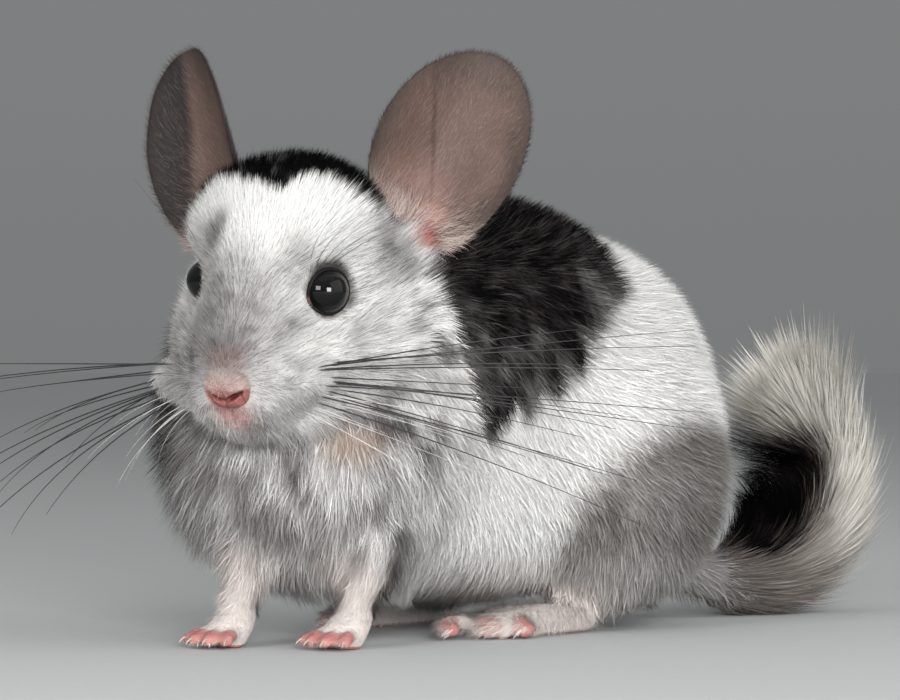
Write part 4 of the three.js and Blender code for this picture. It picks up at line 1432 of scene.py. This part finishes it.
class CHINCHILLA_OT_nose(ChinchillaOperator):
    """Model the pink nose with its nostrils and middle groove"""

    bl_idname = "chinchilla.nose"
    bl_label = "Nose"

    def execute(self, context):
        tone = np.array(context.scene.chinchilla_head.nose_colour)
        drop_selection()
        bpy.ops.mesh.primitive_ico_sphere_add(subdivisions=6, radius=1.0)
        nose = bpy.context.object
        nose.name = nose.data.name = "nose_pad"
        p = np.zeros(len(nose.data.vertices) * 3, np.float32)
        nose.data.vertices.foreach_get("co", p)
        p = p.reshape(-1, 3).astype(float)
        away = unit(p)
        p = np.sign(p) * np.abs(p) ** 0.9
        p = p * NOSE_HALF * 1.03
        x, z = p[:, 0], p[:, 2]
        front = step(0.1, -0.3, away[:, 1])
        middle = np.exp(-((x / 0.5) ** 2)) * step(1.2, -1.5, z)
        deep = 0.7 * middle
        slit_shade = 0.6 * middle * step(3, 0, z) * step(-3, -1, z)
        for side in (LEFT, RIGHT):
            u = (x * side - 2.7) / 2.3
            v = (z + 0.7 - 0.5 * (x * side - 3.0)) / 0.8
            slit = np.exp(-((u**2 + v**2) ** 1.6))
            deep = deep + 2.0 * slit
            slit_shade = slit_shade + 1.2 * slit
            w = (x * side - 4.3) / 0.7
            deep = deep + 1.1 * np.exp(-((w**2 + ((z + 1.6) / 1.6) ** 2) ** 1.5))
            ridge = np.exp(-(((x * side - 3.0) / 2.4) ** 2 + ((z - 1.6) / 1.0) ** 2))
            deep = deep - 0.45 * ridge
        deep = deep + 0.1 * noise(p, 0.9, 81)
        p[:, 1] += deep * front
        places = to_frame(from_head(p + NOSE_AT + NOSE_NUDGE))
        nose.data.vertices.foreach_set("co", places.astype(np.float32).ravel())
        nose.data.update()
        # Painted shade darkens the nostrils and the lower middle groove.
        tones = tint(np.tile(tone, (len(p), 1)), colour(78, 28, 28), slit_shade)
        store_colours(nose.data, tint(tones, colour(112, 86, 80), 0.8 * step(-0.1, 0.6, away[:, 2])))
        made = Finish("nose_skin", 0.5, Specular_IOR_Level=0.4)
        patches = made.noise(0.003, 3.0)
        pebbles = made.cells(2600.0, "F1")
        skin = made.darkened(0.4, made.attribute(), patches, (0.82, 0.66, 0.66))
        nose.data.materials.append(made.feed(Base_Color=skin, Normal=made.bump(pebbles, 0.00018)))
        nose.data.shade_smooth()
        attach(nose, "root")
        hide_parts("nose")
        self.down(nose)
        return {"FINISHED"}

    def down(self, nose):
        """Very short pale hairs that cover the nose's upper edge."""
        surface = Surface(nose)
        at = (to_head(surface.middles) - NOSE_AT - NOSE_NUDGE) / NOSE_HALF
        density = step(0.0, 0.25, at[:, 2] - 0.1 * np.abs(at[:, 0])) * step(0.5, 0.1, at[:, 1])
        random = np.random.default_rng(21)
        count = 3000
        roots, normals, _ = surface.scatter(count, density, random)
        high = step(0.35, 0.95, ((to_head(roots) - NOSE_AT - NOSE_NUDGE) / NOSE_HALF)[:, 2])
        away = (to_head(roots) - NOSE_AT) * np.array([1, 0.3, 1]) + 0.8 * random.normal(size=(count, 3))
        ways = unit(away) @ HEAD_TURN.T
        ways = unit(ways - normals * dot(ways, normals)[:, None])
        length = 1.0 + 0.7 * random.random(count) + 1.3 * high
        spines = tufts(roots, normals, ways, length, np.full(count, 22.0), np.full(count, 22.0), 1, sink=0.1)
        tips = tint(np.tile(colour(178, 142, 135), (count, 1)), colour(146, 134, 129), high)
        tips = uneven(tint(tips, colour(222, 208, 203), 0.7 * random.random(count)), random)
        parts = coat_parts(roots, normals, ways, spines, np.full(count, 0.17), tips, head_unwrap(roots))
        finish = coat_finish("nose_down")
        finish_coat([blades("nose_down", **parts, thickness=0.4, finish=finish, softness=0.5)])


def ear_frame(side):
    """The ear's axes as columns, outwards, backwards and up, and the place of its foot, in head places."""
    ear = EARS[side]
    up = unit(ear["up"])
    facing = np.array(ear["facing"], float)
    facing = unit(facing - up * dot(facing, up))
    return np.stack([np.cross(up, facing), -facing, up], axis=1) * ear["size"], np.array(ear["at"])


def ear_shares(x, z):
    """Places on the ear from -1 to 1 across it and up it, and how far out they are, 1 at the rim."""
    across = (x - EAR_MIDDLE[0]) / (EAR_WIDTH / 2)
    up = (z - EAR_MIDDLE[1]) / (EAR_LENGTH / 2)
    return across, up, np.hypot(across, up)


def ear_bowl(x, z):
    """How far back the inside of the ear lies, as a shallow cup with a fold along its inner edge."""
    across, up, reach = ear_shares(x, z)
    crease = (np.hypot(-0.25 - across, 0.1) - 0.25 - across) / 2
    bowl = EAR_CUP * (1 - 0.75 * across**2 - 0.35 * up**2 - 1.6 * crease) * (1 - 0.25 * up)
    line = across + 0.29 + 0.64 * up
    fold = -step(0.03, -0.03, line) * np.exp(-((line / 0.3) ** 2))
    fold = fold * step(-0.75, -0.3, up) * step(0.8, 0.4, up)
    ribs = 0.35 * np.sin(across * 9 + 1.2 * up) * step(0.95, 0.4, reach) * step(0.5, -0.4, up)
    return bowl + 0.9 * fold + ribs


def rim_round(reach):
    """1 over most of the ear, falling in a quarter circle to 0 at its rim."""
    return math.sqrt(max(0.0, 1 - max(0.0, reach - 0.93) ** 2 / 0.0052))


# The rusty bare spot at the foot of the ear, across and up from the foot
EAR_SPOT = (9, -4.5, 0)


class CHINCHILLA_OT_ears(ChinchillaOperator):
    """Model both ears as thin cups with a rolled rim, and their short fine hair"""

    bl_idname = "chinchilla.ears"
    bl_label = "Ears"

    def execute(self, context):
        tone = np.array(context.scene.chinchilla_head.ear_colour)
        finish = self.finish()
        hair = coat_finish("ear_hair")
        for side in (LEFT, RIGHT):
            name = SIDE_NAMES[side]
            points, faces, inside = self.shell(side)
            axes, foot = ear_frame(side)
            world = from_head(points @ axes.T + foot)
            tones = self.colours(points, side, tone, inside)
            ear = mesh_piece(f"ear_shell_{name}", world, faces, finish, tones)
            ear.data.shade_smooth()
            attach(ear, "root")
            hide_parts(f"ear_{name}")
            self.hairs(ear, side, name, hair)
        return {"FINISHED"}

    def shell(self, side):
        """Both faces of the ear on rings round its middle, joined by a rounded rim."""
        rings, spokes = 48, 170
        angles = np.arange(spokes) / spokes * math.tau
        rows = []
        for face in (0, 1):
            reaches = np.linspace(0, 1, rings + 1)[1:] ** 0.85
            for reach in reaches if face == 0 else reaches[::-1]:
                x = EAR_MIDDLE[0] + reach * EAR_WIDTH * np.cos(angles) / 2
                z = EAR_MIDDLE[1] + reach * EAR_LENGTH * np.sin(angles) / 2
                wave = 0.35 * noise(np.stack([x, z, z * 0], axis=1), 7, 90)
                thick = EAR_THICKNESS * (1.25 - 0.5 * reach) * max(math.sqrt(0.02), rim_round(reach))
                rolled = 0.35 * EAR_THICKNESS * (1 - rim_round(reach))
                y = ear_bowl(x, z) + wave + (thick if face else rolled)
                rows.append(np.stack([x * side, y, z], axis=1))
        points = np.concatenate(rows)
        first = rows[0].mean(axis=0)
        last = rows[-1].mean(axis=0)
        points = np.concatenate([points, [first], [last]])
        faces = []
        total = len(rows)
        for k in range(total - 1):
            for i in range(spokes):
                a, b = k * spokes + i, k * spokes + (i + 1) % spokes
                faces += [(a, a + spokes, b + spokes), (a, b + spokes, b)]
        front, back = len(points) - 2, len(points) - 1
        for i in range(spokes):
            j = (i + 1) % spokes
            faces += [(front, i, j), (back, (total - 1) * spokes + j, (total - 1) * spokes + i)]
        faces = np.array(faces)
        if side == RIGHT:
            faces = faces[:, ::-1]
        inside = np.zeros(len(points))
        inside[: rings * spokes] = 1
        inside[front] = 1
        return points, faces, inside

    def colours(self, points, side, tone, inside):
        """Dark rim, a painted shadow along the fold, and the pink and rusty foot, inside; dark grey behind.
        """
        x, z = points[:, 0] * side, points[:, 2]
        across, up, reach = ear_shares(x, z)
        flat = np.stack([x, z, z * 0], axis=1)
        c = np.tile(tone, (len(points), 1))
        line = across + 0.29 + 0.64 * up
        c = tint(c, colour(70, 57, 52), 0.95 * step(0.5, 1.02, reach + 0.12 * noise(flat, 5, 91)))
        if side == LEFT:
            c = tint(c, colour(88, 67, 60), 0.75 * step(0.02, -0.06, line) * step(-0.9, -0.2, line))
            # Painted shadow along the fold's crease.
            fold = np.exp(-((line / 0.025) ** 2)) * step(-0.7, -0.3, up) * step(0.8, 0.4, up)
            c = tint(c, colour(64, 48, 44), 0.6 * fold)
        else:
            c = tint(c, colour(24, 22, 22), 0.95 * step(-0.1, 0.12, across - 0.4 + 0.48 * up))
        for patch, share, middle, half, soft in (
            (colour(138, 104, 95), 0.5, (2, 4, 0), (10, 9, 9), 0.6),
            (colour(176, 116, 106), 0.6, (9.5, 1.5, 0), (4, 3, 5), 0.7),
            (colour(186, 74, 66), 0.95, EAR_SPOT, (2.6, 2.4, 5), 0.5),
            (colour(40, 26, 24), 0.9, (6.6, -4.2, 0), (1.6, 0.8, 5), 0.5),
        ):
            c = tint(c, patch, share * blob(flat, middle, half, soft))
        c = c * (1 + 0.07 * noise(flat, 4, 92) + 0.05 * noise(flat, 1.5, 93))[:, None]
        back = np.tile(colour(92, 78, 76), (len(points), 1))
        back = tint(back, colour(56, 50, 51), 1 - step(-0.9, 0.2, up))
        return np.clip(np.where(inside[:, None] > 0.5, c, back), 0, 1)

    def finish(self):
        made = Finish("ear_skin", 0.55, Specular_IOR_Level=0.35)
        grain = made.noise(0.0006, 4.0, 0.7)
        fine = made.darkened(0.6, made.attribute(), grain, (0.55,) * 3, 0.3, 0.65)
        veins = made.cells(120.0, "DISTANCE_TO_EDGE")
        tone = made.darkened(0.28, fine, veins, (0.9, 0.74, 0.72), 0.0, 0.045)
        return made.feed(Base_Color=tone, Normal=made.bump(grain, 0.0003))

    def hairs(self, ear, side, name, finish):
        """Short hairs over both faces, densest at the rim and the foot, and none on the rusty spot."""
        surface = Surface(ear)
        axes, foot = ear_frame(side)
        local = (to_head(surface.middles) - foot) @ np.linalg.inv(axes).T
        _, up, reach = ear_shares(local[:, 0] * side, local[:, 2])
        density = 0.75 + 3.0 * step(0.88, 1.0, reach) + 2.0 * step(-0.2, -0.9, up)
        flat = np.stack([local[:, 0] * side, local[:, 2], 0 * up], axis=1)
        density = density * (1 - 0.9 * blob(flat, EAR_SPOT, (3.4, 3.4, 5), 0.5))
        random = np.random.default_rng(12 + side)
        count = 10000
        roots, normals, _ = surface.scatter(count, density, random)
        local = (to_head(roots) - foot) @ np.linalg.inv(axes).T
        across, up, reach = ear_shares(local[:, 0] * side, local[:, 2])
        towards = np.stack([local[:, 0] - side * 3.0, 0 * up, local[:, 2] + 8], axis=1)
        way = unit(towards) @ axes.T @ HEAD_TURN.T
        way = unit(way - normals * dot(way, normals)[:, None])
        turn = 0.35 * noise(roots, 6, 95) + 0.25 * random.normal(size=count)
        way = unit(way + np.cross(normals, way) * turn[:, None])
        facing = HEAD_TURN @ (-axes[:, 1])
        inner = dot(normals, unit(facing)) > 0
        longer = 1 + 0.3 * step(0.3, -0.6, up) + 1.6 * step(-0.55, -0.95, up)
        length = varied(count, random, 2.0, 1.4) * longer * np.where(inner, 1, 0.8)
        length *= 1 - 0.15 * step(0.9, 1.0, reach)
        lift = 16 + 9 * random.normal(size=count) + 10 * step(0.9, 1.0, reach)
        widths = (0.13 + 0.08 * step(-0.5, -0.9, up)) * varied(count, random, 0.7, 0.6)
        spines = tufts(roots, normals, way, length, lift, lift, 1, sink=0.15)
        pale = tint(np.tile(colour(146, 128, 119), (count, 1)), colour(208, 190, 182), step(-0.25, -0.9, up))
        pale = tint(pale, colour(70, 61, 57), 0.9 * step(0.8, 0.98, reach) * step(-0.7, -0.3, up))
        dark = tint(np.tile(colour(92, 84, 85), (count, 1)), colour(50, 46, 48), step(0.2, -0.9, up))
        if side == RIGHT:
            pale = tint(pale, pale * 0.6, step(-0.15, 0.15, across - 0.4 + 0.48 * up))
        change = (1 + 0.18 * random.normal(size=count)).clip(0.5, 1.4)
        tips = np.clip(np.where(inner[:, None], pale, dark) * change[:, None], 0.004, 0.9)
        unwrap = np.stack([0.25 + 0.5 * inner + 0.2 * across * 0.9, 0.5 + 0.45 * up], axis=1)
        parts = coat_parts(roots, normals, way, spines, widths, tips, unwrap)
        hairs = blades(f"ear_hairs_{name}", **parts, thickness=0.4, finish=finish, softness=0.4)
        finish_coat([hairs])


class CHINCHILLA_OT_whiskers(ChinchillaOperator):
    """Set the long dark whiskers, the finer pale ones below them and a few over each eye"""

    bl_idname = "chinchilla.whiskers"
    bl_label = "Whiskers"

    def execute(self, context):
        count = context.scene.chinchilla_head.whiskers
        dark = self.finish("whisker_dark", (0.012, 0.01, 0.011))
        pale = self.finish("whisker_pale", (0.5, 0.48, 0.46))
        for side in (LEFT, RIGHT):
            random = np.random.default_rng(31 + side)
            long, fine = [], []
            for i in range(count):
                row = (i % 5) * 0.78 + 0.35 * random.normal()
                column = random.random() * 2.5
                length = 52 + 49 * random.random() ** 0.7
                long.append(self.hair(side, row, column, length, 0.23, random))
            for i in range(10):
                row, column = 2 + 3 * random.random(), random.random() * 2
                fine.append(self.hair(side, row, column, 22 + 26 * random.random(), 0.11, random))
            for i in range(5):
                long.append(self.brow(side, i, random))
            for name, hairs, finish in (("whiskers", long, dark), ("pale_whiskers", fine, pale)):
                points, faces = joined_arrays(hairs)
                piece = mesh_piece(f"{name}_{SIDE_NAMES[side]}", from_head(points), faces, finish)
                piece.data.shade_smooth()
                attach(piece, "root")
        return {"FINISHED"}

    def hair(self, side, row, column, length, thick, random):
        """A whisker from a row and a column of the pad, swept back and sagging to its tip."""
        root = np.array([side * (13 + column * 1.6), -27.5 + column * 4.0, -9.0 - row * 2.3])
        rise = (0.1 if side == LEFT else -0.02) - row * 0.13 + 0.05 * random.normal()
        swept = 0.04 + 0.13 * column if side == LEFT else -0.32 + 0.12 * column
        way = unit([side, swept + 0.08 * random.normal(), rise])
        bend = np.array([side * -0.06, 0.32 + 0.06 * random.normal(), -0.15 - row * 0.03])
        t = np.linspace(-0.03, 1, 15)[:, None]
        spine = root + way * t * length + bend * (np.maximum(t, 0) ** 2) * length
        return tube(spine, thick * (1 - 0.72 * np.linspace(0, 1, 15)), 4)

    def brow(self, side, i, random):
        """A thin whisker over the eye."""
        root = eye_middle(side) + np.array([side * (-1.5 + i * 0.9), -3.5 + 1.5 * i, 8.0 - 0.3 * i])
        way = unit([side * (0.3 + 0.25 * i), -0.3 + 0.1 * i, 1.0])
        bend = np.array([side * 0.15, 0.5, -0.2])
        t = np.linspace(-0.05, 1, 9)[:, None]
        length = 20 + 14 * random.random()
        spine = root + way * t * length + bend * np.maximum(t, 0) ** 2 * length
        return tube(spine, 0.09 * (1 - 0.7 * np.linspace(0, 1, 9)), 3)

    def finish(self, name, tone):
        made = Finish(name, 0.38, Specular_IOR_Level=0.5)
        streak = made.noise(0.002, 2.0)
        return made.feed(Base_Color=made.mix(streak, tone, tuple(1.7 * t for t in tone)))


class CHINCHILLA_OT_claws(ChinchillaOperator):
    """Set the small blunt claws of all four feet"""

    bl_idname = "chinchilla.claws"
    bl_label = "Claws"

    def execute(self, context):
        made = Finish("claw", 0.35, Specular_IOR_Level=0.5)
        bands = made.noise(0.0008, 2.0)
        pale, dark = colour(206, 182, 170), colour(150, 122, 110)
        horn = made.feed(Base_Color=made.mix(bands, pale, dark))
        claws = []
        for side in (LEFT, RIGHT):
            for at, way in fore_toes(side):
                root = at + way * 1.7 + np.array([0, 0, 0.2])
                claws.append(self.claw(root, way - np.array([0, 0, 0.4]), 1.3, 0.42))
            way = np.array([0.15 * side, -1, -0.25])
            claws += [self.claw(at + way * 2.8, way, 1.2, 0.5) for at in hind_toes(side)]
        points, faces = joined_arrays(claws)
        piece = mesh_piece("claws", points, faces, horn)
        piece.data.shade_smooth()
        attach(piece, "root")
        return {"FINISHED"}

    def claw(self, at, way, length, thick):
        t = np.linspace(-0.6, 1, 7)[:, None]
        spine = at + unit(way) * t * length + np.array([0, 0, -0.5]) * np.maximum(t, 0) ** 2 * length
        spine[:, 2] = np.maximum(spine[:, 2], 0.3)
        return tube(spine, thick * np.sqrt(np.linspace(1, 0.03, 7)), 8)


class CHINCHILLA_OT_stage(ChinchillaOperator):
    """Set the camera, the soft lights and the pale floor"""

    bl_idname = "chinchilla.stage"
    bl_label = "Stage"

    def execute(self, context):
        settings = context.scene.chinchilla_stage
        camera = bpy.data.cameras.new("camera")
        camera.sensor_width = 36
        camera.lens = FOCAL_PIXELS / PHOTO_WIDTH * camera.sensor_width
        camera.clip_start, camera.clip_end = 0.05, 60
        seat = bpy.data.objects.new("camera", camera)
        context.scene.collection.objects.link(seat)
        seat.location = to_frame(CAMERA_AT)
        seat.rotation_euler = (math.radians(90), 0, math.radians(CAMERA_TURN))
        context.scene.camera = seat
        bpy.ops.mesh.primitive_circle_add(vertices=96, radius=12, fill_type="NGON")
        floor = context.object
        floor.name = floor.data.name = "floor"
        made = Finish("floor", 0.85, Specular_IOR_Level=0.2)
        cloth = made.noise(0.004, 4.0)
        tone = tuple(settings.floor_colour)
        paler = made.mix(cloth, tone, tuple(0.94 * t for t in tone))
        floor.data.materials.append(made.feed(Base_Color=paler, Normal=made.bump(cloth, 0.0002)))
        for name, back, right, up, size, power in (
            ("key", 1.0, -0.8, 0.32, 0.4, settings.key_power),
            ("fill", 1.3, 0.18, 0.2, 0.46, settings.fill_power),
            ("side", 0.8, 1.4, 0.5, 2.4, 18.0),
            ("top", 0.1, -0.2, 1.6, 2.0, 3.5),
        ):
            self.light(name, back, right, up, size, power)
        context.scene.world = self.world()
        context.scene.view_settings.view_transform = "Standard"
        return {"FINISHED"}

    def world(self):
        """A plain grey room, a little paler towards the ceiling."""
        world = bpy.data.worlds.new("studio")
        world.use_nodes = True
        tree = world.node_tree
        place, height = tree.nodes.new("ShaderNodeTexCoord"), tree.nodes.new("ShaderNodeSeparateXYZ")
        sky = tree.nodes.new("ShaderNodeValToRGB")
        stops = sky.color_ramp.elements
        stops.new(0.1)
        for stop, at, tone in zip(stops, (0, 0.1, 0.45), (0.2, 0.22, 0.34)):
            stop.position, stop.color = at, (tone * 0.97, tone * 0.99, tone, 1)
        tree.links.new(place.outputs["Generated"], height.inputs[0])
        tree.links.new(height.outputs["Z"], sky.inputs[0])
        tree.links.new(sky.outputs[0], tree.nodes["Background"].inputs["Color"])
        return world

    def light(self, name, back, right, up, size, power):
        """A square light, placed in metres from the animal: towards the camera, to its right, and up."""
        aim = to_frame([5, 15, 70])
        slant = math.sqrt(0.5)
        at = aim + back * np.array([slant, -slant, 0]) + right * np.array([slant, slant, 0])
        at = at + up * np.array([0, 0, 1.0])
        lamp = bpy.data.lights.new(name, "AREA")
        lamp.shape, lamp.size, lamp.energy = "SQUARE", size, power
        made = bpy.data.objects.new(name, lamp)
        bpy.context.scene.collection.objects.link(made)
        made.location = at
        made.rotation_euler = Vector(aim - at).to_track_quat("-Z", "Y").to_euler()


STEPS = [
    CHINCHILLA_OT_stage, CHINCHILLA_OT_skin, CHINCHILLA_OT_body_coat, CHINCHILLA_OT_head_coat,
    CHINCHILLA_OT_tail, CHINCHILLA_OT_ears, CHINCHILLA_OT_eyes, CHINCHILLA_OT_nose, CHINCHILLA_OT_whiskers,
    CHINCHILLA_OT_claws,
]


class CHINCHILLA_PT_panel(bpy.types.Panel):
    """Sizes, colours and the steps that make the animal"""

    bl_label = "Chinchilla"
    bl_space_type = "VIEW_3D"
    bl_region_type = "UI"
    bl_category = "Chinchilla"

    def draw(self, context):
        scene = context.scene
        for settings in (scene.chinchilla_coat, scene.chinchilla_head, scene.chinchilla_stage):
            box = self.layout.box()
            for name in settings.bl_rna.properties.keys():
                if name not in ("rna_type", "name"):
                    box.prop(settings, name)
        for made in STEPS:
            self.layout.operator(made.bl_idname)


CLASSES = [CoatSettings, HeadSettings, StageSettings, *STEPS, CHINCHILLA_PT_panel]


def register():
    for made in CLASSES:
        bpy.utils.register_class(made)
    bpy.types.Scene.chinchilla_coat = PointerProperty(type=CoatSettings)
    bpy.types.Scene.chinchilla_head = PointerProperty(type=HeadSettings)
    bpy.types.Scene.chinchilla_stage = PointerProperty(type=StageSettings)


def unregister():
    for name in ("chinchilla_coat", "chinchilla_head", "chinchilla_stage"):
        delattr(bpy.types.Scene, name)
    for made in reversed(CLASSES):
        bpy.utils.unregister_class(made)


def main():
    register()
    for made in STEPS:
        group, name = made.bl_idname.split(".")
        getattr(getattr(bpy.ops, group), name)()


if __name__ == "__main__":
    main()
